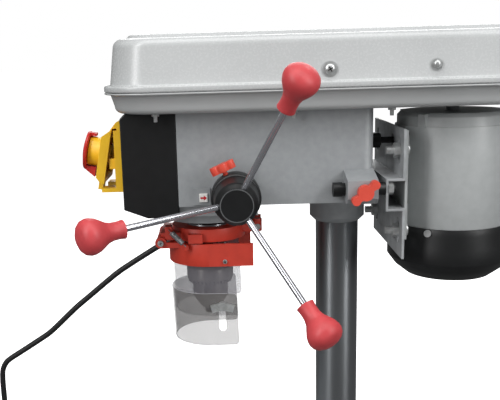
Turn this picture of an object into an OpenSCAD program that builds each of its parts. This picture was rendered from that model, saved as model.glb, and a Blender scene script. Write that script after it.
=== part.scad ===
/* [Stand] */
// Length of the cast base from front to rear
base_l = 290; // [260:5:340]
// Width of the cast base
base_w = 186; // [170:2:220]
// Height of the cast base
base_h = 24; // [20:1:32]
// Distance from the base's rear edge to the column axis
col_back = 60; // [58:1:75]
// Outer radius of the steel column
col_r = 23; // [22:0.5:25]
// Height of the head's underside above the bench
head_z = 420; // [400:5:470]
/* [Table] */
// Side of the square table
table_w = 164; // [150:2:170]
// Height of the table top above the bench
table_z = 134; // [130:2:180]
// Thickness of the table plate
table_t = 12; // [9:1:14]
// Width of the clamping slots
slot_w = 12; // [10:1:14]
/* [Head] */
// Distance from the column axis to the spindle axis
throat = 140.5; // [136:0.5:150]
// Width of the head casting
head_w = 123.6; // [118:0.4:126]
// Height of the head casting
head_h = 95; // [90:0.5:100]
// Length of the black front cover
cover_l = 56; // [50:1:60]
// Wall of the head casting
head_t = 6; // [5:0.5:7]
/* [Feed] */
// Number of teeth on the feed pinion
pinion_teeth = 15; // [15:1:17]
// Tooth module of pinion and rack
tooth_m = 1.5; // [1.4:0.05:1.6]
// Height of the feed shaft above the head's underside
feed_up = 12.3; // [11:0.1:14]
// Radius of the depth ring
ring_r = 24.6; // [23:0.2:27]
// Distance from the handles' virtual meeting point to a knob's centre
spoke_l = 147; // [130:1:150]
// Diameter of the handle knobs
knob_d = 32.6; // [28:0.2:36]
/* [Spindle and chuck] */
// Outer radius of the quill
quill_r = 20; // [19.5:0.25:21]
// Radius of the chuck
chuck_r = 25.6; // [24:0.2:28]
// Length of the chuck
chuck_l = 66; // [62:1:70]
// Opening between the jaws at rest
jaw_open = 3; // [2:0.5:4]
/* [Guard] */
// Outer radius of the guard carrier's front
guard_r = 44; // [43:0.5:47]
// Length of the guard behind the spindle axis
guard_tail = 47; // [44:1:52]
// Thickness of the clear shields
shield_t = 1.6; // [1.4:0.1:2]
/* [Belt case] */
// Length of the belt case in front of the spindle axis
case_front = 98.5; // [94:0.5:106]
// Length of the belt case behind the motor axis
case_rear = 76; // [70:1:90]
// Width of the belt case over its flange
case_w = 190; // [180:2:200]
// Height of the belt pan
pan_h = 21; // [19:0.5:26]
// Height of the belt lid
lid_h = 51; // [49:1:60]
/* [Motor] */
// Distance from the column axis back to the motor axis
motor_back = 122.5; // [121:0.5:135]
// Radius of the motor body
motor_r = 59.6; // [56:0.4:60]
// Height of the motor body
motor_h = 105; // [100:1:106]
/* [Switch] */
// Width of the switch box
switch_w = 64; // [60:1:70]
// Height of the switch frame
switch_h = 64; // [62:1:66]
// Angle at which the flap stands open
flap_open = 10.8; // [9:0.2:12]
/* [Cord] */
// Diameter of the mains cord
cord_d = 7; // [6.5:0.1:7]
/* [Hidden] */
$fn = 48;
// Cutters reach past a face by over; running fits use run, loose ones air
over = 1;
run = 0.05;
air = 0.3;
hull_fn = 32;

col_x = base_l / 2 - col_back;
spin = -throat;
mot = motor_back;

function unit(v) = v / norm(v);
function polar(r, a) = [r * cos(a), r * sin(a)];

// Frame of the head: x = 0 on the column axis and z = 0 on the head's underside
module in_head() {
    translate([col_x, 0, head_z]) children();
}
module box(p, size) {
    translate(p) cube(size);
}
module cyl_z(p, r, h) {
    translate(p) cylinder(r = r, h = h);
}
// Runs from p toward +X
module cyl_x(p, r, h) {
    translate(p) rotate([0, 90, 0]) cylinder(r = r, h = h);
}
// Runs from p toward -Y, the near side
module cyl_y(p, r, h) {
    translate(p) rotate([90, 0, 0]) cylinder(r = r, h = h);
}
module ring(r, bore, h) {
    difference() {
        cylinder(r = r, h = h);
        cyl_z([0, 0, -over], bore, h + 2 * over);
    }
}
// A plate outline with rounded corners, centred on the origin
module rounded(l, w, r) {
    for (sx = [-1, 1], sy = [-1, 1]) {
        translate([sx * (l / 2 - r), sy * (w / 2 - r)]) circle(r);
    }
    square([l - 2 * r, w], center = true);
    square([l, w - 2 * r], center = true);
}
// A slot outline along X, its length measured end to end
module slot(l, w) {
    for (s = [-1, 1]) {
        translate([s * (l - w) / 2, 0]) circle(w / 2);
    }
    square([l - w, w], center = true);
}
// A bolt whose hexagonal head stands on z = 0 and whose shank runs down
module bolt(shank_r, shank_l, head_r, head_h) {
    cylinder(r = head_r, h = head_h, $fn = 6);
    cyl_z([0, 0, -shank_l], shank_r, shank_l + head_h / 2);
}

// Base, socket and column
pad_r = 59;
pad_h = 3;
base_edge = 22;
base_skin = 9;
base_wall = 10;
foot_in = 18;
foot_x = base_l / 2 - foot_in;
foot_y = base_w / 2 - foot_in;
foot_hole_r = 4.5;
foot_boss_r = 11;
base_slot_l = 110;
base_slot_w = 14;
base_slot_x = -56;
base_slot_y = 46;
base_top = base_h + pad_h;
socket_r = 55;
socket_h = 34;
socket_flange_h = 11;
socket_bolt_r = 4;
socket_bolt_circle = 44;
socket_bolt_l = 22;
column_wall = 2.8;
column_in = 62;
// The four bolt seats on top of the socket's flange
module socket_bolt_places() {
    for (k = [0 : 3]) {
        translate([col_x, 0, base_top + socket_flange_h]) rotate([0, 0, 45 + 90 * k]) {
            translate([socket_bolt_circle, 0, 0]) children();
        }
    }
}
module base_plate() {
    core = socket_bolt_circle + socket_bolt_r + base_wall;
    color("#8d9090") difference() {
        union() {
            linear_extrude(base_h) rounded(base_l, base_w, base_edge);
            cyl_z([col_x, 0, base_h - over], pad_r, pad_h + over);
        }
        difference() {
            translate([0, 0, -over]) linear_extrude(base_h - base_skin + over) {
                rounded(base_l - 2 * base_wall, base_w - 2 * base_wall, base_edge - base_wall);
            }
            for (sx = [-1, 1], sy = [-1, 1]) {
                cyl_z([sx * foot_x, sy * foot_y, -over], foot_boss_r, base_h);
            }
            cyl_z([col_x, 0, -over], core, base_h);
        }
        for (sx = [-1, 1], sy = [-1, 1]) {
            cyl_z([sx * foot_x, sy * foot_y, -over], foot_hole_r, base_h + 2 * over);
        }
        for (s = [-1, 1]) {
            translate([base_slot_x, s * base_slot_y, -over]) {
                linear_extrude(base_h + 2 * over) slot(base_slot_l, base_slot_w);
            }
        }
        socket_bolt_places() cyl_z([0, 0, -socket_bolt_l - over], socket_bolt_r + run, socket_bolt_l + 2 * over);
    }
}
module column_socket() {
    neck_r = 32.5;
    neck_h = 22;
    edge = 2;
    color("#8d9090") difference() {
        translate([col_x, 0, base_top]) rotate_extrude() polygon([
            [col_r + run, 0], [socket_r, 0], [socket_r, socket_flange_h - edge],
            [socket_r - edge, socket_flange_h], [neck_r + edge, socket_flange_h], [neck_r, neck_h],
            [neck_r, socket_h - edge], [neck_r - edge, socket_h], [col_r + run, socket_h]
        ]);
        socket_bolt_places() cyl_z([0, 0, -socket_flange_h - over], socket_bolt_r + air, socket_flange_h + 2 * over);
    }
}
module socket_bolts() {
    head_r = 7.2;
    head_h = 5;
    color("#a9abab") socket_bolt_places() bolt(socket_bolt_r, socket_bolt_l, head_r, head_h);
}
module column() {
    color("#77797a") translate([col_x, 0, base_top]) {
        ring(col_r, col_r - column_wall, head_z + column_in - base_top);
    }
}

// Table, its bracket on the column, the tilt bolt and the lock lever
tilt_drop = 46;
tilt_z = table_z - tilt_drop;
bracket_r = 36;
bracket_h = 46;
arm_r = 20;
disc_r = 24;
disc_t = 12;
tilt_in = 25.5;
tilt_x = col_x + spin + table_w / 2 - tilt_in;
arm_reach = col_x - tilt_x;
table_lug_t = 13;
tilt_bolt_r = 6;
tilt_bolt_in = 26;
clamp_gap = 4;
clamp_l = 60;
clamp_y = 15;
clamp_h = 26;
lock_back = 50;
lock_r = 5;
module table_bracket() {
    color("#8d9090") difference() {
        union() {
            cyl_z([col_x, 0, tilt_z - bracket_h / 2], bracket_r, bracket_h);
            cyl_x([tilt_x + disc_t / 2, 0, tilt_z], arm_r, arm_reach - disc_t);
            cyl_x([tilt_x, 0, tilt_z], disc_r, disc_t);
            box([col_x + bracket_r / 2, -clamp_y, tilt_z - clamp_h / 2], [clamp_l - bracket_r / 2, 2 * clamp_y, clamp_h]);
        }
        cyl_z([col_x, 0, tilt_z - bracket_h], col_r + air, 2 * bracket_h);
        box([col_x, -clamp_gap / 2, tilt_z - bracket_h], [2 * clamp_l, clamp_gap, 2 * bracket_h]);
        cyl_x([tilt_x - over, 0, tilt_z], tilt_bolt_r + run, tilt_bolt_in + over);
        cyl_y([col_x + lock_back, 2 * clamp_y, tilt_z], lock_r + run, 4 * clamp_y);
    }
}
module table_tilt_bolt() {
    head_r = 11;
    head_h = 8;
    stack = table_lug_t + 2 * air;
    color("#a9abab") translate([tilt_x - stack, 0, tilt_z]) rotate([0, -90, 0]) {
        bolt(tilt_bolt_r, stack + tilt_bolt_in - over, head_r, head_h);
    }
}
module table_lock_lever() {
    hub_r = 9;
    hub_l = 16;
    raised = 30;
    lever_r = 4;
    lever_l = 62;
    ball_r = 8;
    color("#2a2b2c") translate([col_x + lock_back, -clamp_y - air, tilt_z]) {
        cyl_y([0, 0, 0], hub_r, hub_l);
        cyl_y([0, 2 * clamp_y - over, 0], lock_r, 2 * clamp_y);
        translate([0, -hub_l / 2, 0]) rotate([0, 90 - raised, 0]) {
            cylinder(r = lever_r, h = lever_l);
            translate([0, 0, lever_l]) sphere(ball_r);
        }
    }
}
module table() {
    edge = 12;
    rim_h = 20;
    rim_t = 7;
    hole_r = 12;
    boss_r = 20;
    slot_l = 100;
    slot_y = 44;
    centre_x = col_x + spin;
    lug_x = tilt_x - air - table_lug_t;
    color("#8d9090") difference() {
        union() {
            translate([centre_x, 0, table_z - rim_h]) difference() {
                linear_extrude(rim_h) rounded(table_w, table_w, edge);
                translate([0, 0, -over]) linear_extrude(rim_h - table_t + over) {
                    rounded(table_w - 2 * rim_t, table_w - 2 * rim_t, edge - rim_t);
                }
            }
            cyl_z([centre_x, 0, table_z - rim_h], boss_r, rim_h - over);
            cyl_x([lug_x, 0, tilt_z], disc_r, table_lug_t);
            box([lug_x, -disc_r, tilt_z], [table_lug_t, 2 * disc_r, tilt_drop - table_t / 2]);
        }
        cyl_z([centre_x, 0, table_z - 2 * rim_h], hole_r, 3 * rim_h);
        for (s = [-1, 1]) {
            translate([centre_x, s * slot_y, table_z - 2 * rim_h]) linear_extrude(3 * rim_h) slot(slot_l, slot_w);
        }
        cyl_x([lug_x - over, 0, tilt_z], tilt_bolt_r + air, table_lug_t + 2 * over);
    }
}

// Head: places that the casting shares with the quill, the feed and the motor slide
front_in = 28;
head_x0 = spin - front_in;
head_x1 = 28.5;
nose_h = 21;
nose_r = 47;
chin_h = 11.5;
chin_l = 80;
chin_w = 110;
quill_top = 69;
quill_low = 43;
boss_t = 8;
bearing_r = 17.5;
bearing_bore = 8.5;
bearing_h = 10;
rack_in = 1.5;
pitch_r = tooth_m * pinion_teeth / 2;
feed_x = spin + quill_r - rack_in + pitch_r;
tip_r = pitch_r + tooth_m;
journal_r = tip_r + air / 2;
far_r = 9;
pinion_w = 24;
boss_out = 9;
rod_y = 69.5;
rod_z = 15;
rod_r = 6.5;
lug_x0 = -2;
lug_l = 30;
lug_y = 88;
wing_x = 14.5;
wing_r = 4;
grub_r = 4;
grub_z = [44, 56];
lead_y = -22;
lead_z = 58;
lead_r = 3.2;
gland_r = 5;
module in_feed() {
    in_head() translate([feed_x, 0, feed_up]) children();
}
module in_spindle() {
    in_head() translate([spin, 0, 0]) children();
}
module head_outline(inset) {
    head_edge = 10;
    l = head_x1 - head_x0;
    translate([(head_x0 + head_x1) / 2, 0]) rounded(l - 2 * inset, head_w - 2 * inset, head_edge - inset / 2);
    translate([head_x0 - (inset > 0 ? over : 0), inset - head_w / 2]) square([l / 2, head_w - 2 * inset]);
}
// A cast lug on one side wall that carries a slide rod
module rod_lug() {
    low = 2;
    top = 26;
    rise = 8;
    edge = 6;
    wall_y = head_w / 2 - head_t / 2;
    translate([lug_x0 + lug_l, 0, 0]) rotate([0, -90, 0]) linear_extrude(lug_l) {
        polygon([[low, wall_y], [low, lug_y - edge], [low + edge, lug_y], [top, lug_y], [top + rise, wall_y]]);
    }
}
module head_casting() {
    col_boss_r = 29.4;
    col_boss_low = 29;
    edge = 5;
    pad_x = -154.5;
    pad_l = 18;
    pad_low = 2;
    pad_tall = 17;
    pad_out = 3;
    roof = head_h - head_t / 2;
    color("#8f9292") in_head() difference() {
        union() {
            difference() {
                linear_extrude(head_h) head_outline(0);
                translate([0, 0, head_t]) linear_extrude(head_h - 2 * head_t) head_outline(head_t);
            }
            box([head_x0, -chin_w / 2, -chin_h], [chin_l, chin_w, chin_h + head_t / 2]);
            cyl_z([spin, 0, -nose_h], nose_r, nose_h - chin_h);
            cyl_z([spin, 0, -nose_h], quill_r + boss_t, nose_h + roof);
            cyl_y([feed_x, head_w / 2 - head_t / 2, feed_up], journal_r + boss_t, head_w + boss_out - head_t / 2);
            rotate_extrude() polygon([
                [0, -col_boss_low], [col_boss_r - edge, -col_boss_low], [col_boss_r, edge - col_boss_low],
                [col_boss_r, column_in + head_t], [0, column_in + head_t]
            ]);
            rod_lug();
            mirror([0, 1, 0]) rod_lug();
            box([pad_x, -head_w / 2 - pad_out, pad_low], [pad_l, pad_out + head_t / 2, pad_tall]);
        }
        cyl_z([spin, 0, -nose_h - over], quill_r + run, nose_h + quill_top + 2 * over);
        cyl_z([spin, 0, quill_top], bearing_r + run, head_h);
        cyl_y([feed_x, -pinion_w / 2, feed_up], journal_r + run, head_w);
        cyl_y([feed_x, pinion_w / 2 + over, feed_up], tip_r + 2 * air, pinion_w + 2 * over);
        cyl_y([feed_x, head_w, feed_up], far_r + run, head_w);
        cyl_z([0, 0, -col_boss_low - over], col_r + run, col_boss_low + column_in + over);
        for (s = [-1, 1]) {
            cyl_x([lug_x0 - over, s * rod_y, rod_z], rod_r + run, lug_l + 2 * over);
        }
        cyl_y([wing_x, -rod_y, rod_z], wing_r + run, lug_y);
        cyl_x([head_x1 - head_t - over, lead_y, lead_z], gland_r + run, 3 * head_t);
        for (z = grub_z) {
            cyl_y([0, head_w, z], grub_r + run, head_w);
        }
    }
}
// Front cover: a black moulded shell that closes the head's open front
cover_x = head_x0 - cover_l;
cover_t = 3;
module cover_profile(inset) {
    slope_l = 24;
    front_low = 2;
    nick = 5;
    low = air - chin_h + inset;
    polygon([
        [cover_x + inset, inset - front_low], [cover_x + slope_l, low], [head_x0 + inset, low],
        [head_x0 + inset, head_h - inset], [cover_x + nick, head_h - inset], [cover_x + inset, head_h - nick]
    ]);
}
switch_low = 12;
module_w = 46;
module_h = 52;
module_z = switch_low + switch_h / 2 + over;
module head_cover() {
    color("#1a1b1c") in_head() difference() {
        translate([0, head_w / 2, 0]) rotate([90, 0, 0]) linear_extrude(head_w) cover_profile(0);
        translate([0, head_w / 2 - cover_t, 0]) rotate([90, 0, 0]) {
            linear_extrude(head_w - 2 * cover_t) cover_profile(cover_t);
        }
        box([cover_x - over, -module_w / 2, module_z - module_h / 2], [3 * cover_t, module_w, module_h]);
    }
}
// Bolts that hold the belt pan to the head, and the grub screws that clamp the head on the column
pan_t = 2;
pan_bolt_x = [-187.5, -52.5, 43];
pan_bolt_in = 24;
pan_bolt_y = case_w / 2 - pan_bolt_in;
pan_bolt_r = 2;
module head_screws() {
    shank_l = 8;
    bolt_head_r = 3.8;
    bolt_head_h = 2.5;
    color("#b9bbbb") in_head() {
        for (x = pan_bolt_x, s = [-1, 1]) {
            cyl_z([x, s * pan_bolt_y, head_h - shank_l], pan_bolt_r, shank_l + pan_t + over);
            cyl_z([x, s * pan_bolt_y, head_h - bolt_head_h - run], bolt_head_r, bolt_head_h);
            cyl_z([x, s * pan_bolt_y, head_h + pan_t + run], bolt_head_r, bolt_head_h);
        }
        for (z = grub_z) {
            cyl_y([0, head_w / 2 + over, z], grub_r, head_w / 2 - col_r);
        }
    }
}

// Switch: a frame on the front cover, a module with two buttons and a flap with the red mushroom
frame_d = 11;
frame_t = 4;
hinge_in = 5.5;
hinge_x = cover_x - hinge_in;
hinge_z = 81.8;
hinge_r = 3.4;
pin_r = 1.6;
flap_t = 9.5;
flap_x = cover_x - frame_d - 2 * air;
flap_low = 19;
flap_top = 75;
flap_y = switch_w / 2 - frame_t - 2 * air;
module_out = 6;
button_r = 6.5;
button_out = 5;
start_z = module_z - 14;
stop_z = module_z + 13;
neck_r = 15.5;
neck_l = 14;
mushroom_z = 47;
stem_r = 9;
module switch_frame() {
    tongue_l = 15;
    tongue_y = 12;
    stay_l = 6;
    stay_h = 11;
    stay_z = 36;
    slot_in = switch_w / 2 - frame_t;
    color("#e9bd3a") in_head() {
        difference() {
            box([cover_x - frame_d, -switch_w / 2, switch_low], [frame_d, switch_w, switch_h]);
            box([cover_x - 2 * frame_d, -slot_in, switch_low + frame_t], [3 * frame_d, 2 * slot_in, switch_h - 2 * frame_t]);
        }
        cyl_y([hinge_x, switch_w / 2, hinge_z], pin_r, switch_w);
        for (s = [-1, 1]) {
            translate([0, s > 0 ? tongue_y : -switch_w / 2, 0]) {
                box([cover_x - frame_d - tongue_l, 0, switch_low], [tongue_l + over, switch_w / 2 - tongue_y, frame_t]);
            }
            translate([0, s > 0 ? switch_w / 2 - frame_t : -switch_w / 2, 0]) {
                cyl_y([hinge_x, frame_t, hinge_z], hinge_r, frame_t);
                box([hinge_x - hinge_r / 2, 0, switch_low + switch_h - over], [hinge_in + hinge_r / 2, frame_t, 2 * hinge_r]);
            }
            translate([0, s > 0 ? slot_in - frame_t + over : -slot_in - over, 0]) {
                box([cover_x - frame_d - stay_l, 0, stay_z], [stay_l + frame_d / 2, frame_t, stay_h]);
            }
        }
    }
}
module switch_module() {
    color("#202122") in_head() difference() {
        box([cover_x - module_out, -module_w / 2, module_z - module_h / 2], [module_out + cover_l / 2, module_w, module_h]);
        for (z = [start_z, stop_z]) {
            cyl_x([cover_x - 2 * module_out, 0, z], button_r + run, 4 * module_out);
        }
    }
}
module button(z) {
    in_head() cyl_x([cover_x - module_out - button_out, 0, z], button_r, button_out + 2 * module_out);
}
module start_button() {
    color("#2f6b46") button(start_z);
}
module stop_button() {
    color("#a61f22") button(stop_z);
}
// Pieces on the flap are drawn shut and swung out to where it rests
module swung() {
    in_head() translate([hinge_x, 0, hinge_z]) rotate([0, flap_open, 0]) translate([-hinge_x, 0, -hinge_z]) children();
}
module switch_flap() {
    tab_y = 9;
    tab_l = 11;
    tab_t = 5;
    nick = 5;
    slope = 8;
    wall = 2.5;
    ear = hinge_r - pin_r;
    color("#e9bd3a") swung() difference() {
        union() {
            translate([0, switch_w / 2, 0]) rotate([90, 0, 0]) linear_extrude(switch_w) polygon([
                [flap_x, flap_low], [flap_x - flap_t + nick, flap_low], [flap_x - flap_t, flap_low + nick],
                [flap_x - flap_t, flap_top - slope], [flap_x - over, flap_top], [flap_x, flap_top]
            ]);
            translate([0, flap_y, 0]) rotate([90, 0, 0]) linear_extrude(2 * flap_y) polygon([
                [flap_x, flap_top - ear], [flap_x - over - ear, flap_top - ear], [hinge_x - hinge_r, hinge_z + ear],
                [hinge_x, hinge_z + hinge_r], [hinge_x + hinge_r, hinge_z], [hinge_x, hinge_z - hinge_r],
                [flap_x, switch_low + switch_h + air]
            ]);
            box([flap_x - flap_t + over, -tab_y, flap_low - tab_l], [tab_t, 2 * tab_y, tab_l + over]);
            cyl_x([flap_x - flap_t - neck_l, 0, mushroom_z], neck_r, flap_t + neck_l);
        }
        difference() {
            box([flap_x - flap_t + wall, -switch_w / 2 + wall, flap_low + nick], [flap_t, switch_w - 2 * wall, flap_top - flap_low - nick - slope]);
            cyl_x([flap_x - flap_t, 0, mushroom_z], stem_r + wall, flap_t);
        }
        cyl_x([flap_x - flap_t - neck_l - over, 0, mushroom_z], stem_r + run, flap_t + neck_l + 2 * over);
        cyl_y([hinge_x, switch_w, hinge_z], pin_r + run, 2 * switch_w);
    }
}
module stop_mushroom() {
    cap_r = 20.6;
    rim = 3.5;
    dome = 2.5;
    dome_share = 0.8;
    heel_share = 1.7;
    stem_l = 22;
    heel_y = 9;
    lip_l = 7;
    lip_t = 3;
    lip_y = 6;
    press = 4.5;
    travel = 3;
    cap_x = flap_x - flap_t - neck_l - 2 * air;
    heel_low = mushroom_z - heel_share * neck_r;
    color("#c8262b") swung() {
        translate([cap_x, 0, mushroom_z]) rotate([0, -90, 0]) rotate_extrude() polygon([
            [0, travel], [neck_r + air, travel], [neck_r + air, 0],
            [cap_r - over, 0], [cap_r, over], [cap_r, rim - over], [cap_r - over, rim],
            [cap_r / 2, rim + dome_share * dome], [0, rim + dome]
        ]);
        cyl_x([cap_x - travel - over, 0, mushroom_z], stem_r, stem_l + travel);
        translate([0, heel_y, 0]) rotate([90, 0, 0]) linear_extrude(2 * heel_y) polygon([
            [cap_x - over, mushroom_z - neck_r - air], [cap_x - over, mushroom_z - cap_r + over],
            [flap_x - flap_t - press, heel_low], [flap_x - flap_t - press, mushroom_z - neck_r - air]
        ]);
        box([cap_x - over, -lip_y, mushroom_z + cap_r - lip_t - over], [lip_l, 2 * lip_y, lip_t]);
    }
}

// Feed: pinion shaft, hub, handles, depth ring and return spring
ring_y = head_w / 2 + boss_out + air;
ring_l = 22;
hub_y = ring_y + ring_l + air;
hub_l = 35;
sleeve_r = 15;
hub_bore = 8;
hub_wall = 13;
spoke_tilt = 31.5;
spoke_phase = 65;
spoke_r = 3.1;
spoke_apex_y = 113;
spoke_in = 14;
cap_depth = 20;
nut_h = 6;
pressure = 20;
rack_shares = [0.8, 1.2];
rack_add = rack_shares[0] * tooth_m;
rack_ded = rack_shares[1] * tooth_m;
backlash = 0.12;
function involute(rb, t) = [rb * (cos(t) + t * PI / 180 * sin(t)), rb * (sin(t) - t * PI / 180 * cos(t))];
module pinion_2d() {
    base_r = pitch_r * cos(pressure);
    root_r = pitch_r - rack_add - 2 * backlash;
    half = 90 / pinion_teeth + tan(pressure) * 180 / PI - pressure - backlash / pitch_r * 90 / PI;
    reach = sqrt(pow(tip_r / base_r, 2) - 1) * 180 / PI;
    parts = 5;
    flank = [for (k = [0 : parts]) involute(base_r, reach * k / parts)];
    side = [for (p = flank) [p[0] * cos(half) + p[1] * sin(half), p[1] * cos(half) - p[0] * sin(half)]];
    circle(root_r);
    for (k = [0 : pinion_teeth - 1]) {
        rotate(360 * k / pinion_teeth) polygon(concat(
            [polar(root_r / 2, -half)], side, [for (k = [parts : -1 : 0]) [side[k][0], -side[k][1]]],
            [polar(root_r / 2, half)]
        ));
    }
}
module feed_shaft() {
    nut_r = 10;
    far_y = head_w / 2 + cap_depth + nut_h;
    color("#8a8c8e") in_feed() {
        translate([0, pinion_w / 2, 0]) rotate([90, 0, 0]) linear_extrude(pinion_w) rotate(180) pinion_2d();
        cyl_y([0, -(pinion_w - over) / 2, 0], journal_r - run, ring_y - (pinion_w - over) / 2);
        cyl_y([0, -ring_y + over, 0], hub_bore, ring_l + hub_l - hub_wall + over);
        cyl_y([0, far_y, 0], far_r, far_y);
        translate([0, far_y + air, 0]) rotate([90, 0, 0]) cylinder(r = nut_r, h = nut_h, $fn = 6);
    }
}
// The handles share one meeting point on the feed axis; z = 0 lies there and z runs outward
module at_spoke(k) {
    in_feed() translate([0, -spoke_apex_y, 0]) rotate([0, -spoke_phase - 120 * k, 0]) rotate([0, 0, -spoke_tilt]) {
        rotate([0, 90, 0]) children();
    }
}
module feed_hub() {
    back_r = 22.5;
    front_r = 16.4;
    round = 4;
    end_y = hub_y + hub_l;
    color("#1c1d1e") difference() {
        in_feed() rotate([90, 0, 0]) rotate_extrude() polygon([
            [hub_bore + run, ring_y + air], [sleeve_r, ring_y + air], [sleeve_r, hub_y], [back_r, hub_y],
            [back_r - over, hub_y + hub_l / 3], [front_r + round, end_y - 2 * round],
            [front_r, end_y - round / 2], [front_r - over, end_y], [0, end_y],
            [0, end_y - hub_wall + run], [hub_bore + run, end_y - hub_wall + run]
        ]);
        for (k = [0 : 2]) {
            at_spoke(k) cyl_z([0, 0, spoke_in], spoke_r + run, spoke_l / 2);
        }
    }
}
module feed_spokes() {
    color("#d9dbdd") for (k = [0 : 2]) {
        at_spoke(k) cyl_z([0, 0, spoke_in + run], spoke_r, spoke_l - spoke_in);
    }
}
module feed_knobs() {
    knob_r = knob_d / 2;
    // From the crown down: radius as a share of knob_r, height as a share of knob_d
    side_shares = [
        [0, 0.435], [0.43, 0.41], [0.72, 0.345], [0.92, 0.245], [1, 0.12], [0.99, 0.015], [0.91, -0.12],
        [0.75, -0.26], [0.58, -0.4], [0.5, -0.55], [0.49, -0.735], [0.515, -0.845], [0.53, -0.89]
    ];
    bore = spoke_r + run;
    foot_z = side_shares[len(side_shares) - 1][1] * knob_d;
    color("#c2403f") for (k = [0 : 2]) {
        at_spoke(k) translate([0, 0, spoke_l]) rotate_extrude() polygon(concat(
            [[bore, over], [0, over]], [for (p = side_shares) [p[0] * knob_r, p[1] * knob_d]], [[bore, foot_z]]
        ));
    }
}
lock_angle = 113;
lock_y = ring_y + ring_l / 2;
lock_screw_r = 2.5;
module depth_ring() {
    rim = 1.5;
    bore = sleeve_r + run;
    color("#1c1d1e") difference() {
        in_feed() rotate([90, 0, 0]) rotate_extrude() polygon([
            [bore, ring_y], [ring_r - rim, ring_y], [ring_r, ring_y + rim],
            [ring_r, ring_y + ring_l - rim], [ring_r - rim, ring_y + ring_l], [bore, ring_y + ring_l]
        ]);
        at_lock() cyl_z([0, 0, 0], lock_screw_r + run, 2 * ring_r);
    }
}
// The lock screw's way into the ring; z runs outward from the feed axis
module at_lock() {
    in_feed() translate([0, -lock_y, 0]) rotate([0, 90 - lock_angle, 0]) children();
}
module depth_lock_screw() {
    bar_l = 25;
    bar_r = 4.3;
    bar_h = 8;
    hub_r = 6;
    waist = 3.5;
    stand = 3.5;
    color("#cf3d35") at_lock() {
        cyl_z([0, 0, sleeve_r + air], lock_screw_r, ring_r - sleeve_r + 2 * stand);
        translate([0, 0, ring_r + stand]) {
            for (s = [-1, 1]) {
                cyl_z([s * (bar_l / 2 - bar_r), 0, 0], bar_r, bar_h);
            }
            box([bar_r - bar_l / 2, -waist, 0], [bar_l - 2 * bar_r, 2 * waist, bar_h]);
            cylinder(r = hub_r, h = bar_h);
        }
    }
}
// The cap on the far side holds a flat spiral spring that lifts the quill
module return_spring_cap() {
    cap_r = 27;
    cap_t = 2;
    band_t = 0.8;
    coils = 5;
    turn = 18;
    inner = far_r + 3;
    outer = cap_r - cap_t - over;
    wound = [for (a = [0 : turn : 360 * coils]) polar(inner + (outer - inner) * a / (360 * coils), a)];
    edge = [for (p = wound) p * (1 + band_t / norm(p))];
    wall = head_w / 2;
    color("#1c1d1e") in_feed() difference() {
        cyl_y([0, wall + cap_depth, 0], cap_r, cap_depth);
        cyl_y([0, wall + cap_depth - cap_t, 0], cap_r - cap_t, cap_depth);
        cyl_y([0, wall + 2 * cap_depth, 0], far_r + run, 2 * cap_depth);
    }
    color("#6f7274") in_feed() translate([0, wall + cap_depth - 2 * cap_t, 0]) rotate([90, 0, 0]) {
        linear_extrude(cap_depth - 4 * cap_t) polygon(concat(wound, [for (k = [len(edge) - 1 : -1 : 0]) edge[k]]));
    }
}

// Quill, spindle and chuck
flange_r = 24;
bumper_h = 6.4;
flange_top = nose_h + air + bumper_h;
race_r = 14;
race_h = 8;
shaft_r = 6;
shaft_clear = 8.5;
spline_top = 160;
chuck_top = 66;
chuck_low = chuck_top + chuck_l;
module spline_2d(grow) {
    core_r = 5;
    spline_w = 2.2;
    splines = 6;
    circle(core_r + grow);
    for (k = [0 : splines - 1]) {
        rotate(360 * k / splines) translate([0, -spline_w / 2 - grow]) square([shaft_r + grow / 2, spline_w + 2 * grow]);
    }
}
module quill() {
    pitch = PI * tooth_m;
    pitch_x = quill_r - rack_in;
    face_x = pitch_x + rack_add;
    deep_x = pitch_x - rack_ded - 2 * backlash;
    half = pitch / 4 + backlash / 2;
    deep_half = half - (pitch_x - deep_x) * tan(pressure);
    wide_half = half + (face_x + over - pitch_x) * tan(pressure);
    cut_y = pinion_w / 2 + over;
    color("#9b9da0") in_spindle() difference() {
        union() {
            cyl_z([0, 0, -quill_low], quill_r, quill_low + quill_top - run);
            cyl_z([0, 0, -quill_low], flange_r, quill_low - flange_top);
        }
        cyl_z([0, 0, -quill_low - over], shaft_clear, 2 * (quill_low + quill_top));
        cyl_z([0, 0, -quill_low - over], race_r + run, race_h + over);
        cyl_z([0, 0, quill_top - race_h], race_r + run, race_h + over);
        box([face_x, -cut_y, feed_up - 3 * pitch], [quill_r, 2 * cut_y, head_h]);
        for (k = [-2 : 12]) {
            translate([0, cut_y, feed_up + k * pitch]) rotate([90, 0, 0]) linear_extrude(2 * cut_y) polygon([
                [deep_x, -deep_half], [deep_x, deep_half], [face_x + over, wide_half], [face_x + over, -wide_half]
            ]);
        }
    }
}
module quill_bumper() {
    wide_r = 25.5;
    low_r = 23;
    bore = quill_r + run;
    color("#151515") in_spindle() translate([0, 0, -flange_top]) rotate_extrude() polygon([
        [bore, 0], [low_r, 0], [wide_r, bumper_h - over], [wide_r, bumper_h], [bore, bumper_h]
    ]);
}
module quill_bearings() {
    color("#b9bbbd") in_spindle() for (z = [-quill_low, quill_top - race_h]) {
        translate([0, 0, z]) ring(race_r, shaft_r + run, race_h - run);
    }
}
taper_l = 24;
taper_r = 7.9;
taper_tip_r = 7.2;
module spindle() {
    shoulder_r = 11;
    color("#8a8c8e") in_spindle() {
        translate([0, 0, -chuck_top - taper_l]) cylinder(r1 = taper_tip_r, r2 = taper_r, h = taper_l);
        cyl_z([0, 0, -chuck_top], shoulder_r, chuck_top - quill_low - air);
        cyl_z([0, 0, -quill_low - over], shaft_r, quill_low + quill_top + 2 * over);
        translate([0, 0, quill_top]) linear_extrude(spline_top - quill_top) spline_2d(0);
    }
}
jaw_tilt = 15;
jaw_r = 4;
jaw_l = 30;
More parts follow.
